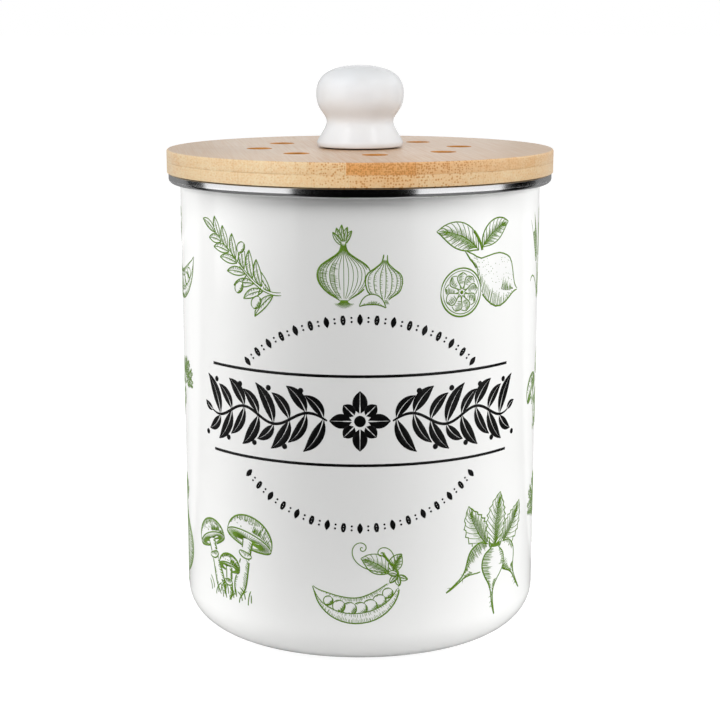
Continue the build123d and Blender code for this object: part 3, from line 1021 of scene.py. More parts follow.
def frond(d, root, tip, bend):
    """A feathery leaf of many short strokes."""
    root, tip = Vector(root), Vector(tip)
    along = tip - root
    stem = Body((root, root.lerp(tip, 0.5) + Vector((-along.y, along.x)) * bend, tip), 1, 1, 1)
    d.edge(stem, 0, 0.15)
    for n in range(8):
        t = 0.3 + 0.09 * n
        for side in (1, -1):
            twig = Matrix.Rotation(radians(side * 44), 2) @ stem.ahead(t)
            size = (6.2 - 0.5 * n) * d.chance.uniform(0.8, 1.1)
            foot = stem.middle(t)
            d.line([foot, foot + twig * size * 0.5, foot + twig * size], 0.1, start=1, end=0.5)
            for m in range(3):
                place = foot + twig * size * (0.4 + 0.25 * m)
                for inner in (1, -1):
                    end = place + (Matrix.Rotation(radians(inner * 40), 2) @ twig) * (1.7 - 0.3 * m)
                    d.line([place, place.lerp(end, 0.5), end], 0.09, start=0.8, end=0.8)


def carrot(d):
    """Two carrots with their green."""
    for bend, tip in ((0.22, (24, 9)), (-0.12, (22, 17)), (0.1, (16, 21)), (-0.2, (8, 22)), (0.25, (1, 20))):
        frond(d, (3, 4), tip, bend)
    for spine, wide in (
        (((5, 1), (-2, -8), (-6, -13), (-14, -24)), 4.2),
        (((2, 5), (-7, 0), (-15, -4), (-27, -14)), 5.2),
    ):
        root = Body(spine, wide, 0.55, 0.98, 0.98, 0.86, 0.72, 0.58, 0.43, 0.28, 0.14, 0.04)
        d.outline(root, 0.2, steps=24)
        d.hatch(root, 46, 0.03, 0.93, -0.98, 0.85, -0.01)
        d.hatch(root, 20, 0.06, 0.9, 0.98, -0.4, 0.01)
        d.hatch(root, 9, 0.2, 0.75, 0.1, 0.5, 0.0, 0.11)
        for n in range(7):
            start = root.at(0.2 + 0.11 * n, (-1) ** n)
            end = start + unit(200 + 100 * (-1) ** n + 9 * n) * 2.6
            d.line([start, start.lerp(end, 0.5) + Vector((0.2, 0)), end], 0.1, start=1, end=0.3)
        for n in range(5):
            d.dot(root.at(0.015, -0.5 + 0.25 * n), 0.42)


def radish(d):
    """A bunch of three radishes."""
    d.leaf((-2, 2), (-19, 23), 6.2, bend=0.12, veins=8, ruffle=0.12)
    d.leaf((2, 2), (19, 22), 6.2, bend=-0.12, veins=8, ruffle=0.12, dark=1)
    d.leaf((0, 2), (1, 28), 6.4, bend=0.05, veins=9, ruffle=0.12)
    for spine, wide in (
        (((-4, 3), (-12, -2), (-18, -10), (-27, -16)), 6.6),
        (((4, 3), (12, -3), (15, -12), (24, -20)), 6.6),
        (((0, 3), (0, -6), (-2, -18), (3, -29)), 7.6),
    ):
        root = Body(spine, wide, 0.3, 0.82, 1, 0.96, 0.68, 0.3, 0.1, 0.06, 0.04, 0.02)
        d.outline(root, 0.2, steps=26)
        d.hatch(root, 44, 0.03, 0.6, -0.98, 0.95, 0.01)
        d.hatch(root, 16, 0.05, 0.3, 0.98, -0.45, 0.01)
        d.hatch(root, 14, 0.5, 0.66, 0.8, -0.9, 0.01)
        for n in range(6):
            start = root.at(0.62 + 0.055 * n, 0)
            end = start + unit(-60 - 25 * n if n % 2 else 170 + 14 * n) * 2.4
            d.line([start, start.lerp(end, 0.5) + Vector((0.2, 0.1)), end], 0.09, start=1, end=0.3)
    for n in range(3):
        d.curve(((-4, 4.6 - 0.6 * n), (0, 3.6 - 0.6 * n), (4, 4.6 - 0.6 * n)), 0.2, 8)


def onion(d):
    """An onion, a head of garlic and a clove."""
    for n in range(5):
        d.leaf((-8, 14), Vector((-8, 14)) + unit(60 + 17 * n) * (11 - abs(n - 2)), 1.3, bend=0.06, veins=0)
    bulb = Body(((-8, 16), (-8, 4), (-8, -15)), 14, 0.09, 0.1, 0.2, 0.5, 0.84, 0.99, 1, 0.88, 0.6, 0.16)
    d.outline(bulb, 0.2, steps=30)
    for n in range(17):
        side = -0.94 + 0.1175 * n
        first, last = 0.04 + 0.02 * (n % 3), 0.97 - 0.14 * d.chance.random() * (n % 2)
        d.edge(bulb, sin(side * pi / 2), 0.11, first, last, 16)
    d.hatch(bulb, 46, 0.25, 0.95, -0.98, 0.4, 0.02, 0.07)
    d.hatch(bulb, 30, 0.4, 0.95, -0.55, 0.35, 0.02, 0.07)
    for n in range(15):
        root = Vector((-9.8 + 0.26 * n, -14.6))
        end = root + Vector(((n - 7) * 0.5, -4.5 + 0.05 * (n - 7) ** 2))
        d.curve((root, root + Vector((0, -2.4)), end), 0.1, 6, start=1, end=0.3)
    head = Body(((14, 9), (13, 1), (13, -15)), 9.8, 0.1, 0.12, 0.2, 0.5, 0.88, 1, 0.97, 0.8, 0.25)
    d.outline(head, 0.19, steps=28)
    for side in (-0.86, -0.55, -0.22, 0.1, 0.42, 0.7, 0.9):
        d.edge(head, side, 0.13, 0.16, 0.98, 18)
        d.hatch(head, 14, 0.35, 0.95, side + 0.02, 0.16, 0.01, 0.06)
    for n in range(9):
        root = Vector((11.6 + 0.35 * n, -14.8))
        d.line([root, root + Vector(((n - 4) * 0.15, -1.3)), root + Vector(((n - 4) * 0.35, -2.4))], 0.1)
    clove = Body(((0, -18), (5, -12.5), (10, -13.5), (14, -19)), 2.7, 0.06, 0.62, 0.95, 1, 0.85, 0.5, 0.06)
    d.outline(clove, 0.18)
    d.hatch(clove, 24, 0.08, 0.92, -0.97, 0.8, 0.02, 0.07)


def black_leaf(d, base, tip, wide, bend=0.08):
    """A solid leaf with a bare midrib: two broad strokes."""
    body = leaf_body(base, tip, wide, bend, 0.12, 0.62, 0.94, 1, 0.84, 0.48, 0.06)
    rib = 0.22
    steps = 12
    for side in (-1, 1):
        row = []
        for n in range(steps + 1):
            t = n / steps
            half = max(0.06, (body.half(t) - rib * (1 - t)) / 2)
            middle = rib * (1 - t) + half
            row.append((body.at(t, side * middle / max(body.half(t), 0.01)), half))
        d.broad.append(row)


def garland(d):
    """A black frieze of solid leaves on a waving stem, to both sides of a rosette."""
    for n in range(8):
        way = unit(45 * n)
        size = 12.6 if n % 2 == 0 else 9.6
        black_leaf(d, way * 3.4, way * size, 3.1 if n % 2 == 0 else 2.6, bend=0)
    d.dot((0, 0), 2.4, broad=True)
    wave = 31.0
    stem_start = 13.6

    def level(x):
        return 2.9 * sin(2 * pi * (x - stem_start) / wave)

    for way in (-1, 1):
        stem = [Vector((way * (stem_start + n), level(stem_start + n))) for n in range(60)]
        d.line(stem, 0.6, 0.6, 0.5, broad=True)
        for n in range(8):
            x = 15.2 + 7.4 * n
            up = 1 if n % 2 else -1
            root = Vector((way * x, level(x) + 0.4 * up))
            black_leaf(d, root, (way * (x + 8.6), up * 13.6), 2.7, bend=0.12 * up * way)
            back = Vector((way * x, level(x) - 0.4 * up))
            black_leaf(d, back, (way * (x + 8.0), -up * 10.2), 2.3, bend=-0.14 * up * way)
            d.dot((way * (x + 9.6), -up * 12.1), 1.2, broad=True)
        black_leaf(d, (way * 72.4, level(72.4)), (way * 78.0, 1.6), 1.5, bend=0.1)


def border(d, centre_y, end_y, way):
    """Seeds, rings and dots in a row along an arc, bowed up or down."""
    half_chord = 50.0
    rise = abs(centre_y - end_y)
    radius = (half_chord ** 2 + rise ** 2) / (2 * rise)
    middle = Vector((0, centre_y - way * radius))
    spread = asin(half_chord / radius)
    count = 32
    for n in range(count + 1):
        turn = -spread + 2 * spread * n / count
        out = Vector((sin(turn), way * cos(turn)))
        level = Vector((out.y, -out.x))
        spot = middle + out * radius
        if n % 4 == 0:
            row = []
            for m in range(11):
                share = m / 10
                row.append((spot + out * (4.6 * share - 2.3), max(0.07, 1.15 * sin(pi * share) ** 0.8)))
            d.broad.append(row)
        elif n % 4 == 2:
            for side in (-1, 1):
                seed = Body((spot - out * 1.9, spot + level * side * 1.25, spot + out * 1.9), 0.5)
                d.edge(seed, 0, 0.3)
            d.dot(spot, 0.42)
        else:
            d.dot(spot + out * 0.85, 0.45)
            d.dot(spot - out * 0.85, 0.45)


# The rows of plants, from the back round the left, the front and the right to the back
UPPER_ROW = (carrot, radish, pea_pod, olive_branch, onion, lemon, wheat, mushrooms, olive_branch)
LOWER_ROW = (lemon, olive_branch, onion, mushrooms, pea_pod, radish, carrot, wheat)
MIDDLE_ROW = (mushrooms, lemon, radish, wheat, onion, olive_branch, carrot)
# The place in a row of the motif at the front, and half the width in millimetres that is kept for the garland
FRONT_MOTIF = 4
FRONT_HALF = 88


class CADDY_OT_print(Operator):
    """Lay the print on the wall: rows of plants, and a black garland between two rules and two borders"""

    bl_idname = "caddy.print"
    bl_label = "Print"

    def curve(self, name, rows, closed=False):
        """A flat curve with one line for each row of places and radii."""
        data = bpy.data.curves.new(name, "CURVE")
        data.dimensions = "2D"
        for row in rows:
            spline = data.splines.new("POLY")
            spline.points.add(len(row) - 1)
            spline.use_cyclic_u = closed
            for point, ((x, y), radius) in zip(spline.points, row):
                point.co = (x, y, 0, 1)
                point.radius = radius
        curve = bpy.data.objects.new(name, data)
        bpy.context.scene.collection.objects.link(curve)
        return curve

    def nib(self, name, columns):
        """A flat nib, two units wide and two thick, cut into columns."""
        edge = [2 * n / columns - 1 for n in range(columns + 1)]
        corners = [(x, -1) for x in edge] + [(x, 1) for x in reversed(edge)]
        return self.curve(name, [[(corner, 1) for corner in corners]], closed=True)

    def drawn(self, name, strokes, nib):
        """Strokes drawn with a nib, as a flat mesh."""
        curve = self.curve(name, strokes)
        curve.data.bevel_mode = "OBJECT"
        curve.data.bevel_object = nib
        curve.data.use_fill_caps = True
        choose(curve)
        bpy.ops.object.convert(target="MESH")
        piece = added(name)
        edit(piece)
        bpy.ops.mesh.remove_doubles(threshold=1e-4)
        bpy.ops.mesh.normals_make_consistent(inside=False)
        bpy.ops.object.mode_set(mode="OBJECT")
        return piece

    def lay(self, name, drawing, middle, material, slot, turn=0.0, mirror=1, room=None):
        """Wraps a drawing round the wall, turned, mirrored and scaled to its room."""
        looks = bpy.context.scene.caddy_print
        parts = []
        for kind, nib in self.nibs.items():
            strokes = getattr(drawing, kind)
            if strokes:
                parts.append(self.drawn(f"{name}_{kind}", strokes, nib))
        piece = joined(name, *parts) if len(parts) > 1 else parts[0]
        piece.name = piece.data.name = name
        spin = Matrix.Rotation(radians(turn), 2)
        flat = [spin @ Vector((vertex.co.x * mirror, vertex.co.y)) for vertex in piece.data.vertices]
        scale, centre = 1.0, Vector((0, 0))
        if room:
            low = Vector((min(p.x for p in flat), min(p.y for p in flat)))
            high = Vector((max(p.x for p in flat), max(p.y for p in flat)))
            centre = (low + high) / 2
            scale = min(1.2, room[0] / (high.x - low.x), room[1] / (high.y - low.y))
        for vertex, place in zip(piece.data.vertices, flat):
            spot = ((place - centre) * scale + Vector(middle)) * MM
            radius = WALL_R + (looks.stand if vertex.co.z > 0 else -looks.root)
            around = spot.x / WALL_R
            vertex.co = (radius * sin(around), -radius * cos(around), spot.y)
        if mirror < 0:
            piece.data.flip_normals()
        fit(piece, material, "canister", slot)

    def plants(self, looks, green):
        """An upper and a lower row of plants all round, and a middle row from side to side round the back."""
        round_mm = 2 * pi * WALL_R / MM
        chance = Random(7)

        def plant(row, n, motif, seed, centre, spread, mirror, room):
            drawing = Drawing(seed + n)
            motif(drawing)
            name = f"print_{row}_{n + 1}_{motif.__name__}"
            turn = chance.uniform(-spread, spread)
            self.lay(name, drawing, centre, green, "green_print", turn, mirror, room)

        for row, motifs, seed, level, room, front_rise, front_room in (
            ("upper", UPPER_ROW, 0, looks.upper_row / MM, (50, 40), 2.5, (48, 34)),
            ("lower", LOWER_ROW, 100, looks.lower_row / MM, (56, 55), -5, (66, 36)),
        ):
            for n, motif in enumerate(motifs):
                mirror = -1 if (n % 2) == (row == "upper") else 1
                if n == FRONT_MOTIF:
                    plant(row, n, motif, seed, (0, level + front_rise), 7, mirror, front_room)
                else:
                    across = (n - FRONT_MOTIF) * round_mm / len(motifs)
                    plant(row, n, motif, seed, (across, level), 7, mirror, room)
        gap = (round_mm - 2 * FRONT_HALF) / len(MIDDLE_ROW)
        level = (looks.upper_row + looks.lower_row) / 2 / MM + 2
        for n, motif in enumerate(MIDDLE_ROW):
            centre = (FRONT_HALF + gap * (n + 0.5), level)
            plant("middle", n, motif, 200, centre, 12, 1 - 2 * (n % 2), (38, 42))

    def front(self, looks, black):
        """A garland between two rules, and a border above and below."""
        rules = Drawing(0)
        half = looks.rule_half / MM
        steps = 80
        for level in (looks.rule_low / MM, looks.rule_high / MM):
            points = [Vector((half * (2 * n / steps - 1), level)) for n in range(steps + 1)]
            rules.line(points, looks.rule_width / 2 / MM, start=1, end=1)
        self.lay("print_rules", rules, (0, 0), black, "black_print")
        frieze = Drawing(0)
        garland(frieze)
        middle = (looks.rule_low + looks.rule_high) / 2 / MM
        self.lay("print_garland", frieze, (0, middle), black, "black_print")
        for name, centre_y, end_y, way in (("upper", 150, 130, 1), ("lower", 62, 82, -1)):
            row = Drawing(0)
            border(row, centre_y, end_y, way)
            self.lay(f"print_{name}_border", row, (0, 0), black, "black_print")

    def execute(self, context):
        looks = context.scene.caddy_print
        self.nibs = {"fine": self.nib("fine_nib", 1), "broad": self.nib("broad_nib", 4)}
        self.plants(looks, ink("green_ink", looks.green, 0.06))
        self.front(looks, ink("black_ink", looks.black, 0.006))
        for nib in self.nibs.values():
            bpy.data.objects.remove(nib)
        return {"FINISHED"}


# The lid


def loop_profile(corners, radii):
    """A closed profile, rounded at every corner. It starts and ends in the middle of its first side."""
    middle = (Vector(corners[-1]) + Vector(corners[0])) / 2
    return rounded([middle, *corners, middle], radii, steps=5)


class CADDY_OT_board(Operator):
    """Turn the two bamboo plies of the lid, and drill the vents through them"""

    bl_idname = "caddy.board"
    bl_label = "Bamboo Board"

    def vents(self, looks, scorched, low, high, flare):
        """A cutter for the vents of one ply, wider at its upper end by a flare."""
        past = 1 * MM
        profile = [
            (0, low - past),
            (looks.vent, low - past),
            (looks.vent, high - flare),
            (looks.vent + flare, high),
            (looks.vent + flare, high + past),
            (0, high + past),
        ]
        drill = turned("vent_drill", profile, steps=SMALL_TURN_STEPS)
        drill.data.materials.append(scorched)
        moved(drill, looks.vent_circle)
        turn = 360 / looks.vent_count
        first = turned_about_axis(drill, looks.grain_turn * 180 / pi, "vent_drill_0")
        bpy.data.objects.remove(drill)
        rest = [turned_about_axis(first, turn * n, f"vent_drill_{n}") for n in range(1, looks.vent_count)]
        return joined("vent_drills", first, *rest)

    def execute(self, context):
        looks = context.scene.caddy_lid
        seam = looks.seam
        edge = 0.15 * MM
        upper_corners = [
            (LID_R, PLY_LINE),
            (LID_R, LID_HIGH),
            (looks.bolt_hole, LID_HIGH),
            (looks.bolt_hole, PLY_LINE),
        ]
        upper = turned("lid_board_upper", loop_profile(upper_corners, [seam, looks.top_round, edge, edge]))
        wood = bamboo("bamboo_upper", looks, looks.upper_joint, UPPER_TONES, 0.10, 0.9 * MM)
        upper.data.materials.append(wood)
        scorched = bored_bamboo(looks)
        cut(upper, self.vents(looks, scorched, PLY_LINE, LID_HIGH, looks.vent_round))
        lower_corners = [
            (LID_R, LID_LOW),
            (LID_R, PLY_LINE),
            (looks.bolt_hole, PLY_LINE),
            (looks.bolt_hole, LID_LOW + looks.counterbore_depth),
            (looks.counterbore, LID_LOW + looks.counterbore_depth),
            (looks.counterbore, LID_LOW),
        ]
        rounds = [looks.low_bevel, seam, edge, edge, edge, edge]
        lower = turned("lid_board_lower", loop_profile(lower_corners, rounds))
        wood = bamboo("bamboo_lower", looks, looks.lower_joint, LOWER_TONES, 0.10, 1.15 * MM)
        lower.data.materials.append(wood)
        cut(lower, self.vents(looks, scorched, LID_LOW, PLY_LINE, 0))
        smooth(upper)
        smooth(lower)
        fit(upper, None, "lid", "bamboo", "lid_upper_ply")
        fit(lower, None, "lid", "bamboo", "lid_lower_ply")
        return {"FINISHED"}


class CADDY_OT_ring(Operator):
    """Turn the bamboo ring under the lid, with the seal's groove, and the silicone seal in it"""

    bl_idname = "caddy.ring"
    bl_label = "Ring and Seal"

    def execute(self, context):
        looks = context.scene.caddy_lid
        well = PLUG_R - looks.plug_width
        middle = (PLUG_LOW + PLUG_HIGH) / 2
        half = looks.groove_height / 2
        floor = PLUG_R - looks.groove_depth
        edge = 0.2 * MM
        corners = [
            (well, PLUG_LOW),
            (PLUG_R, PLUG_LOW),
            (PLUG_R, middle - half),
            (floor, middle - half),
            (floor, middle + half),
            (PLUG_R, middle + half),
            (PLUG_R, PLUG_HIGH),
            (well, PLUG_HIGH),
        ]
        radii = [0.4 * MM, looks.plug_round] + [edge] * 6
        ring = turned("lid_ring", loop_profile(corners, radii))
        smooth(ring)
        ring_bamboo = bamboo("bamboo_ring", looks, looks.lower_joint, RING_TONES, 0.05, 1.1 * MM)
        fit(ring, ring_bamboo, "lid", "bamboo", "lid_plug_ring")

        fit_gap = 0.05 * MM
        web = PLUG_R + looks.seal_web
        low = middle - half + fit_gap
        high = middle + half - fit_gap
        corners = [
            (floor + fit_gap, low),
            (web, low),
            (SEAL_R, low + looks.fin_rise),
            (SEAL_R, low + looks.fin_rise + looks.fin),
            (web, low + looks.fin),
            (web, high - looks.fin),
            (SEAL_R, high - looks.fin + looks.fin_rise),
            (SEAL_R, high + looks.fin_rise),
            (web, high),
            (floor + fit_gap, high),
        ]
        tip = 0.4 * MM
        radii = [edge, edge, tip, tip, edge, edge, tip, tip, edge, edge]
        seal = turned("seal_fins", loop_profile(corners, radii))
        fit(seal, silicone(), "lid", "clear_silicone", "seal_ring")
        return {"FINISHED"}


class CADDY_OT_filter(Operator):
    """Shape the charcoal felt pad: soft edges and a needled, slightly quilted face"""

    bl_idname = "caddy.filter"
    bl_label = "Filter Pad"

    def execute(self, context):
        low, high = span("filter_pad")
        depth = high - low
        bpy.ops.object.select_all(action="DESELECT")
        bpy.ops.mesh.primitive_cylinder_add(
            vertices=96, radius=FILTER_R, depth=depth, location=(0, 0, (low + high) / 2)
        )
        pad = added("filter_felt")
        settle(pad)
        edit(pad)
        bpy.ops.mesh.bevel(offset=1.6 * MM, segments=4, affect="EDGES")
        bpy.ops.object.mode_set(mode="OBJECT")
        apply_modifier(pad, "REMESH", mode="VOXEL", voxel_size=1.1 * MM)
        cloud = bpy.data.textures.new("felt_cloud", "CLOUDS")
        cloud.noise_scale = 2.2 * MM
        cloud.noise_depth = 3
        apply_modifier(
            pad, "DISPLACE", texture=cloud, strength=0.35 * MM, mid_level=1.0, texture_coords="LOCAL"
        )
        apply_modifier(pad, "SMOOTH", factor=0.3, iterations=1)
        smooth(pad)
        fit(pad, felt(), "lid", "charcoal_felt", "filter_pad")
        return {"FINISHED"}


# The knob and what fixes it


def upright(low, high, leave, arrive):
    """The control points of a curve between two (radius, height) points, upright at both."""
    rise = high[1] - low[1]
    return [low, (low[0], low[1] + leave * rise), (high[0], high[1] - arrive * rise), high]


class CADDY_OT_knob(Operator):
    """Turn the glazed knob: foot, waisted neck, round belly and flat crown"""

    bl_idname = "caddy.knob"
    bl_label = "Knob"

    def execute(self, context):
        looks = context.scene.caddy_knob
        tall = KNOB_HIGH - KNOB_LOW
        foot = (looks.foot, looks.foot_height)
        neck = (looks.neck, looks.neck_height)
        belly = (looks.belly, looks.belly_height)
        shoulder = looks.belly_height + 0.65 * (tall - looks.belly_height)
        stretches = [
            [(looks.foot - looks.foot_round, 0), (looks.foot, 0), foot],
            upright(foot, neck, 0.15, 0.28),
            upright(neck, belly, 0.32, 0.62),
            [belly, (looks.belly, shoulder), (looks.belly * 0.68, tall), (0, tall)],
        ]
        profile = [(0, looks.bore_depth), (looks.bore, looks.bore_depth), (looks.bore, 0)]
        for stretch, steps in zip(stretches, (6, 16, 22, 26)):
            profile += bezier(stretch, steps)
        lifted = [(radius, height + KNOB_LOW) for radius, height in profile]
        crown = turned("knob_glazed", lifted)
        fit(crown, glaze(looks), "lid", "white_glaze", "knob")
        return {"FINISHED"}


def cut_cross(piece, arm, width, low, high):
    """Cuts a cross recess between two levels into a piece on the Z axis."""
    for size in ((arm, width), (width, arm)):
        bpy.ops.object.select_all(action="DESELECT")
        bpy.ops.mesh.primitive_cube_add(size=1, location=(0, 0, (low + high) / 2))
        bar = added("recess")
        bar.scale = (*size, high - low)
        settle(bar)
        cut(piece, bar)


def washer(name, hole, wide, levels, edge, steps=TURN_STEPS):
    """A flat ring between two levels, with softened edges."""
    low, high = levels
    corners = [(hole, low), (wide, low), (wide, high), (hole, high)]
    return turned(name, loop_profile(corners, [edge] * 4), steps=steps)


def screw_head(flat, bend, low, rise, steps):
    """The profile of a screw's head from the end of its flat middle, bent up to its side."""
    turns = [radians(90 * n / steps) for n in range(steps + 1)]
    return [(flat + bend * sin(turn), low + rise * (1 - cos(turn))) for turn in turns]


def thread(shank, depth, pitch, low, high):
    """The profile of a screw's thread between two levels."""
    ridges = []
    level = low
    while level + 2 * pitch < high:
        ridges += [(shank - depth, level + pitch / 2), (shank, level + pitch)]
        level += pitch
    return ridges


def plated_metal(name):
    """Plated steel, as bought screws and washers have it."""
    return metal(name, (0.66, 0.67, 0.68), 0.26, (900, 900, 900), 0.08)


class CADDY_OT_fixing(Operator):
    """Make what holds the knob: rubber washer, brass insert, machine screw and its washer"""

    bl_idname = "caddy.fixing"
    bl_label = "Knob Fixing"

    def execute(self, context):
        hole = context.scene.caddy_lid.bolt_hole
        edge = 0.12 * MM
        pad = washer("knob_pad", hole, reach("knob_washer"), span("knob_washer"), edge)
        fit(pad, rubber(), "lid", "dark_rubber", "knob_washer")

        levels = span("bolt_washer")
        flat_ring = washer("bolt_washer_plated", hole, reach("bolt_washer"), levels, edge, steps=96)
        plated = plated_metal("plated_steel")
        fit(flat_ring, plated, "lid", "plated_steel", "bolt_washer")

        low, high = span("knob_insert")
        wide = reach("knob_insert")
        valley = wide - 0.3 * MM
        bore = 2.55 * MM
        rise = 1.0 * MM
        ridges = [(bore, low), (valley, low)]
        level = low + rise
        while level < high - rise:
            ridges += [(wide, level), (wide, level + 0.5 * rise), (valley, level + 0.7 * rise)]
            level += rise
        ridges += [(valley, high), (bore, high), (bore, low)]
        insert = turned("knob_insert_brass", ridges, steps=SMALL_TURN_STEPS)
        brass = metal("brass", (0.74, 0.52, 0.22), 0.28, (700, 700, 1800), 0.1)
        fit(insert, brass, "lid", "brass", "knob_insert")

        low, high = span("knob_bolt")
        wide = reach("knob_bolt")
        shank = 2.5 * MM
        head_high = low + 2.8 * MM
        thread_low = LID_HIGH - 2 * MM
        profile = screw_head(0, wide, low, 0.95 * MM, 6)
        profile += [(wide, head_high), (shank, head_high), (shank, thread_low)]
        profile += thread(shank, 0.42 * MM, 0.8 * MM, thread_low, high)
        profile += [(shank * 0.75, high), (0, high)]
        bolt = turned("knob_screw", profile, steps=SMALL_TURN_STEPS)
        cut_cross(bolt, 5 * MM, 1.3 * MM, low - MM, low + 1.4 * MM)
        smooth(bolt)
        fit(bolt, plated, "lid", "plated_steel", "knob_bolt")
        return {"FINISHED"}


class CADDY_OT_clips(Operator):
    """Make the three turning clips, with their pan head screws and washers"""

    bl_idname = "caddy.clips"
    bl_label = "Filter Clips"

    def clip(self, pivot, inward, half_width, hole):
        """A clip that points at the axis from its pivot on the X axis, with rounded ends and edges."""
        bpy.ops.object.select_all(action="DESELECT")
        middle = (CLIP_LOW + CLIP_HIGH) / 2
        bpy.ops.mesh.primitive_cylinder_add(
            vertices=64, radius=half_width, depth=CLIP_HIGH - CLIP_LOW, location=(pivot, 0, middle)
        )
        clip = added("clip_blank")
        settle(clip)
        for vertex in clip.data.vertices:
            if vertex.co.x < pivot - MERGE:
                vertex.co.x -= inward
        low, high = CLIP_LOW - MM, CLIP_HIGH + MM
        drill = turned("clip_drill", [(0, low), (hole, low), (hole, high), (0, high)], steps=48)
        moved(drill, pivot)
        cut(clip, drill)
        apply_modifier(
            clip, "BEVEL", width=0.3 * MM, segments=3, limit_method="ANGLE", angle_limit=radians(50)
        )
        smooth(clip)
        return clip

    def execute(self, context):
        looks = context.scene.caddy_lid
        pivot = PLUG_R - looks.plug_width / 2
        hole = 1.9 * MM
        brushed = metal("brushed_stainless", (0.70, 0.70, 0.71), 0.30, (3800, 180, 3800), 0.12)
        plated = plated_metal("plated_zinc")
        blank = self.clip(pivot, 12 * MM, 4.5 * MM, hole)

        low, high = span("clip_screws")
        head = 3.5 * MM
        shank = 1.75 * MM
        dome = 0.8 * MM
        head_high = low + 2.2 * MM
        point_low = high - 2.5 * MM
        profile = [(0, low), *screw_head(head - dome, dome, low, dome, 5)]
        profile += [(head, head_high), (shank, head_high), (shank, PLUG_LOW)]
        profile += thread(shank, 0.4 * MM, 1.2 * MM, PLUG_LOW, point_low)
        profile += [(shank, point_low), (shank / 5, high), (0, high)]
        screw = turned("screw_blank", profile, steps=SMALL_TURN_STEPS)
        cut_cross(screw, head, 0.9 * MM, low - MM, low + 1.0 * MM)
        smooth(screw)
        moved(screw, pivot)

        levels = span("clip_washers")
        flat_ring = washer("washer_blank", hole, 3.8 * MM, levels, 0.08 * MM, steps=SMALL_TURN_STEPS)
        moved(flat_ring, pivot)

        screws = []
        washers = []
        for number, direction in enumerate(CLIP_DIRECTIONS, start=1):
            clip = turned_about_axis(blank, direction, f"clip_plate_{number}")
            fit(clip, brushed, f"turn_clip_{number}", "brushed_stainless", f"clip_{number}")
            screws.append(turned_about_axis(screw, direction, f"screw_{number}"))
            washers.append(turned_about_axis(flat_ring, direction, f"washer_{number}"))
        fit(joined("clip_pan_screws", *screws), plated, "lid", "plated_steel", "clip_screws")
        fit(joined("clip_screw_washers", *washers), plated, "lid", "plated_steel", "clip_washers")
        for piece in (blank, screw, flat_ring):
            bpy.data.objects.remove(piece)
        return {"FINISHED"}


# The stage


# What it lights, name, azimuth, elevation, size in metres, share of the power, whether mirrors see it
LAMPS = (
    ("can", "front", 0, 50, (0.7, 0.55), 0.74),
    ("can", "top", 0, 68, (0.8, 0.5), 0.36),
    ("can", "right", 72, 8, (0.9, 1.1), 1.50),
    ("can", "left", -74, 8, (0.9, 1.1), 0.94),
    ("can", "right_back", 105, 15, (0.8, 1.0), 0.80),
    ("can", "left_back", -105, 15, (0.8, 1.0), 1.35),
    ("lid", "front", 0, 50, (0.7, 0.55), 0.24),
    ("lid", "top", 0, 68, (0.8, 0.5), 0.15),
    ("lid", "front_low", 0, 25, (0.8, 0.4), 0.60),
    ("lid", "right_low", 48, 6, (0.5, 0.8), 0.41),
    ("lid", "left_low", -52, 6, (0.5, 0.8), 0.67),
    ("lid", "left", -74, 8, (0.9, 1.1), 0.18),
    ("lid", "right_back", 105, 15, (0.8, 1.0), 1.05),
    ("lid", "left_back", -105, 15, (0.8, 1.0), 0.55),
    ("lid", "right_glint", 52, 50, (0.16, 0.16), 0.06, True),
    ("lid", "left_glint", -52, 50, (0.16, 0.16), 0.06, True),
)


# Between which azimuths the rim mirrors something dark, and how far off the cards lie in metres
FRONT_DARK = (-39, 32)
LEFT_DARK = (-120, -101)
RIGHT_DARK = (90, 124)
LEFT_END = (-172, -120)
RIGHT_END = (124, 172)
CARD_NEAR = 0.066
CARD_FAR = 1.3


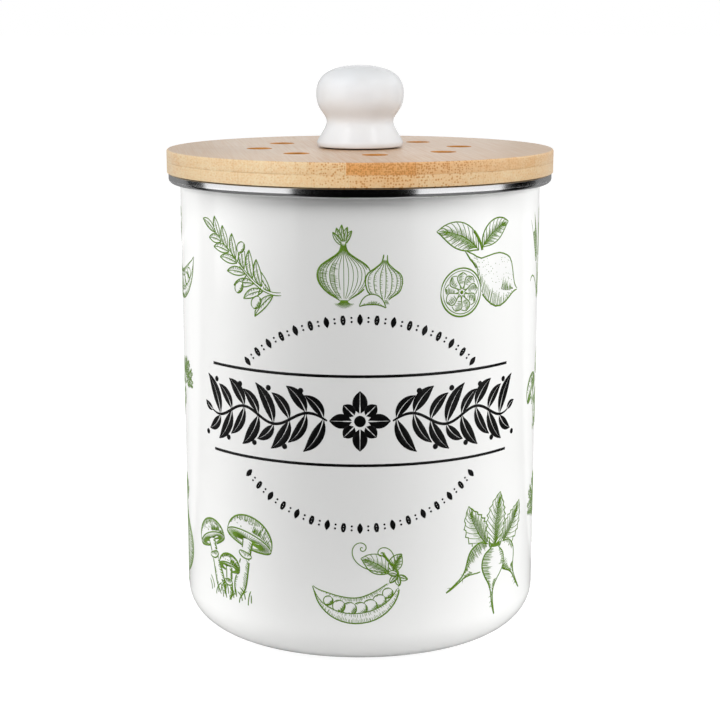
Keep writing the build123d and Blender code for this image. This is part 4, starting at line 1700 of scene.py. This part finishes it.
class CADDY_OT_stage(Operator):
    """Set the pale floor, the white surroundings, the softboxes and the camera"""

    bl_idname = "caddy.stage"
    bl_label = "Stage"

    def camera(self, context, looks):
        data = bpy.data.cameras.new("caddy_camera")
        data.lens = looks.lens
        data.sensor_width = 36
        data.shift_y = looks.shift
        camera = bpy.data.objects.new("caddy_camera", data)
        context.scene.collection.objects.link(camera)
        camera.location = (0, -looks.camera_back, looks.camera_up)
        camera.rotation_euler = (pi / 2 - looks.camera_pitch, 0, 0)
        context.scene.camera = camera

    def softbox(self, context, part, name, azimuth, elevation, size, share_of_power, mirrored=False):
        """A rectangular lamp that faces one part. Azimuth is from the front towards the right, in degrees."""
        looks = context.scene.caddy_stage
        data = bpy.data.lights.new(f"{part}_{name}", "AREA")
        data.shape = "RECTANGLE"
        data.size, data.size_y = size
        data.energy = looks.lamps * share_of_power
        lamp = bpy.data.objects.new(f"{part}_{name}", data)
        context.scene.collection.objects.link(lamp)
        turn, rise = radians(azimuth), radians(elevation)
        outward = Vector((sin(turn) * cos(rise), -cos(turn) * cos(rise), sin(rise)))
        lamp.location = Vector((0, 0, looks.lamp_aim)) + outward * looks.lamp_distance
        lamp.rotation_euler = outward.to_track_quat("Z", "Y").to_euler()
        lamp.visible_camera = False
        lamp.visible_glossy = mirrored
        lamp.light_linking.receiver_collection = lit_group(part)

    def paint(self, name, tone, clear=0.0):
        """A glowing paint. A share of what lies behind it shows through."""
        made = bpy.data.materials.new(name)
        made.use_nodes = True
        tree = made.node_tree
        tree.nodes.remove(tree.nodes["Principled BSDF"])
        glow = add_node(tree, "ShaderNodeEmission", {"Color": (tone, tone, tone, 1)}).outputs[0]
        glass = add_node(tree, "ShaderNodeBsdfTransparent").outputs[0]
        mix = add_node(tree, "ShaderNodeMixShader", {0: clear, 1: glow, 2: glass}).outputs[0]
        tree.links.new(mix, tree.nodes["Material Output"].inputs["Surface"])
        return made

    def card(self, name, azimuths, place):
        """A curved card between two azimuths in degrees. The place gives its radius and height."""
        bpy.ops.object.select_all(action="DESELECT")
        bpy.ops.mesh.primitive_plane_add(size=1)
        card = added(name)
        edit(card)
        bpy.ops.mesh.subdivide(number_cuts=30)
        bpy.ops.object.mode_set(mode="OBJECT")
        for vertex in card.data.vertices:
            turn = radians(azimuths[0] + (azimuths[1] - azimuths[0]) * (vertex.co.x + 0.5))
            radius, height = place(vertex.co.y + 0.5)
            vertex.co = (radius * sin(turn), -radius * cos(turn), height)
        return card

    def cards(self):
        """Cards for the rim's reflections: black, grey at the sides, and behind it grey to the rim alone."""
        black = self.paint("flag_black", 0.002)
        grey = self.paint("flag_grey", 0.2)
        veil = self.paint("flag_veil", 0.46, 0.25)

        def dome(share):
            rise = radians(-10 + 98 * share)
            return CARD_FAR * cos(rise), RIM_LOW + CARD_FAR * sin(rise)

        def wall(share):
            return CARD_FAR, 0.01 + 0.7 * share

        def ground(near, far, height):
            return lambda share: (near + (far - near) * share, height)

        whole = ground(CARD_NEAR, CARD_FAR, 2 * MM)
        outer = ground(0.3, CARD_FAR, 2 * MM)
        inner = ground(CARD_NEAR, 0.9, 1.5 * MM)
        for name, azimuths, place, tone in (
            ("front_flag", FRONT_DARK, dome, black),
            ("left_flag", LEFT_DARK, wall, black),
            ("right_flag", RIGHT_DARK, wall, black),
            ("left_end_flag", LEFT_END, wall, veil),
            ("right_end_flag", RIGHT_END, wall, veil),
            ("front_floor_flag", FRONT_DARK, whole, black),
            ("left_floor_flag", LEFT_DARK, outer, black),
            ("right_floor_flag", RIGHT_DARK, outer, black),
            ("left_side_floor", (LEFT_END[1], FRONT_DARK[0]), inner, grey),
            ("right_side_floor", (FRONT_DARK[1], RIGHT_DARK[1]), inner, grey),
            ("left_end_floor", LEFT_END, whole, veil),
            ("right_end_floor", RIGHT_END, whole, veil),
        ):
            card = self.card(name, azimuths, place)
            if tone == veil:
                card.light_linking.receiver_collection = lit_group("pale")
            self.only_mirrored(card, tone)

    def only_mirrored(self, card, tone):
        """Paints a card and hides it from all but mirrors."""
        card.data.materials.append(tone)
        card.visible_camera = False
        card.visible_diffuse = False
        card.visible_shadow = False
        card.visible_transmission = False

    def floor(self):
        """White to the camera, and on the caddy a pale floor whose far parts throw back less light."""
        bpy.ops.object.select_all(action="DESELECT")
        bpy.ops.mesh.primitive_circle_add(vertices=64, radius=40, fill_type="NGON")
        floor = added("floor")
        material = bpy.data.materials.new("floor_white")
        material.use_nodes = True
        tree = material.node_tree
        tree.nodes.clear()
        path = add_node(tree, "ShaderNodeLightPath").outputs
        rays = {0: path["Is Camera Ray"], 1: path["Is Glossy Ray"]}
        seen = add_node(tree, "ShaderNodeMath", rays, operation="MAXIMUM").outputs[0]
        place = add_node(tree, "ShaderNodeTexCoord").outputs["Object"]
        away = add_node(tree, "ShaderNodeVectorMath", {0: place}, operation="LENGTH").outputs["Value"]
        near = {"Value": away, "From Min": 0.09, "From Max": 0.19, "To Min": 0.74, "To Max": 0.22}
        bounce = add_node(tree, "ShaderNodeMapRange", near).outputs[0]
        far = {"Value": away, "From Min": 0.5, "From Max": 2.0, "To Min": 0.9, "To Max": 1.0}
        white = add_node(tree, "ShaderNodeMapRange", far).outputs[0]
        albedo = add_node(tree, "ShaderNodeMix", {0: seen, 2: bounce, 3: 0.25}, data_type="FLOAT").outputs[0]
        lit = add_node(tree, "ShaderNodeBsdfDiffuse", {"Color": albedo}).outputs[0]
        strength = add_node(tree, "ShaderNodeMath", {0: seen, 1: white}, operation="MULTIPLY").outputs[0]
        glow = add_node(tree, "ShaderNodeEmission", {"Strength": strength}).outputs[0]
        both = add_node(tree, "ShaderNodeAddShader", {0: lit, 1: glow}).outputs[0]
        add_node(tree, "ShaderNodeOutputMaterial", {0: both})
        floor.data.materials.append(material)
        lit_group("can").objects.link(floor)

    def surroundings(self, context, looks):
        """White to the camera and in mirrors, and a dim even light on everything else."""
        world = bpy.data.worlds.new("caddy_world")
        context.scene.world = world
        world.use_nodes = True
        tree = world.node_tree
        tree.nodes.clear()
        path = add_node(tree, "ShaderNodeLightPath").outputs
        seen = path["Is Camera Ray"]
        for ray in ("Is Glossy Ray", "Is Transmission Ray"):
            seen = add_node(tree, "ShaderNodeMath", {0: seen, 1: path[ray]}, operation="MAXIMUM").outputs[0]
        even = {"Color": (0.96, 0.98, 1.0, 1), "Strength": looks.ambient}
        dim = add_node(tree, "ShaderNodeBackground", even).outputs[0]
        white = add_node(tree, "ShaderNodeBackground", {"Color": (1, 1, 1, 1), "Strength": 1.0}).outputs[0]
        mix = add_node(tree, "ShaderNodeMixShader", {0: seen, 1: dim, 2: white}).outputs[0]
        add_node(tree, "ShaderNodeOutputWorld", {0: mix})

    def execute(self, context):
        looks = context.scene.caddy_stage
        self.camera(context, looks)
        self.surroundings(context, looks)
        self.floor()
        for lamp in LAMPS:
            self.softbox(context, *lamp)
        self.cards()
        context.scene.view_settings.view_transform = "Standard"
        return {"FINISHED"}


class CADDY_PT_panel(Panel):
    """Lists the caddy's pieces in the sidebar"""

    bl_idname = "CADDY_PT_panel"
    bl_label = "Compost Caddy"
    bl_space_type = "VIEW_3D"
    bl_region_type = "UI"
    bl_category = "Caddy"

    def draw(self, context):
        for piece in PIECES:
            self.layout.operator(piece.bl_idname)


LOOKS = {
    "caddy_can": CaddyCanLooks,
    "caddy_print": CaddyPrintLooks,
    "caddy_lid": CaddyLidLooks,
    "caddy_knob": CaddyKnobLooks,
    "caddy_stage": CaddyStageLooks,
}
PIECES = (
    CADDY_OT_can,
    CADDY_OT_rim,
    CADDY_OT_print,
    CADDY_OT_board,
    CADDY_OT_ring,
    CADDY_OT_filter,
    CADDY_OT_knob,
    CADDY_OT_fixing,
    CADDY_OT_clips,
    CADDY_OT_stage,
)


def register():
    for looks in LOOKS.values():
        bpy.utils.register_class(looks)
    for name, looks in LOOKS.items():
        setattr(bpy.types.Scene, name, PointerProperty(type=looks))
    for piece in PIECES:
        bpy.utils.register_class(piece)
    bpy.utils.register_class(CADDY_PT_panel)


def unregister():
    bpy.utils.unregister_class(CADDY_PT_panel)
    for piece in reversed(PIECES):
        bpy.utils.unregister_class(piece)
    for name, looks in LOOKS.items():
        delattr(bpy.types.Scene, name)
        bpy.utils.unregister_class(looks)


def main():
    register()
    for piece in PIECES:
        group, name = piece.bl_idname.split(".")
        getattr(getattr(bpy.ops, group), name)()


if __name__ == "__main__":
    main()
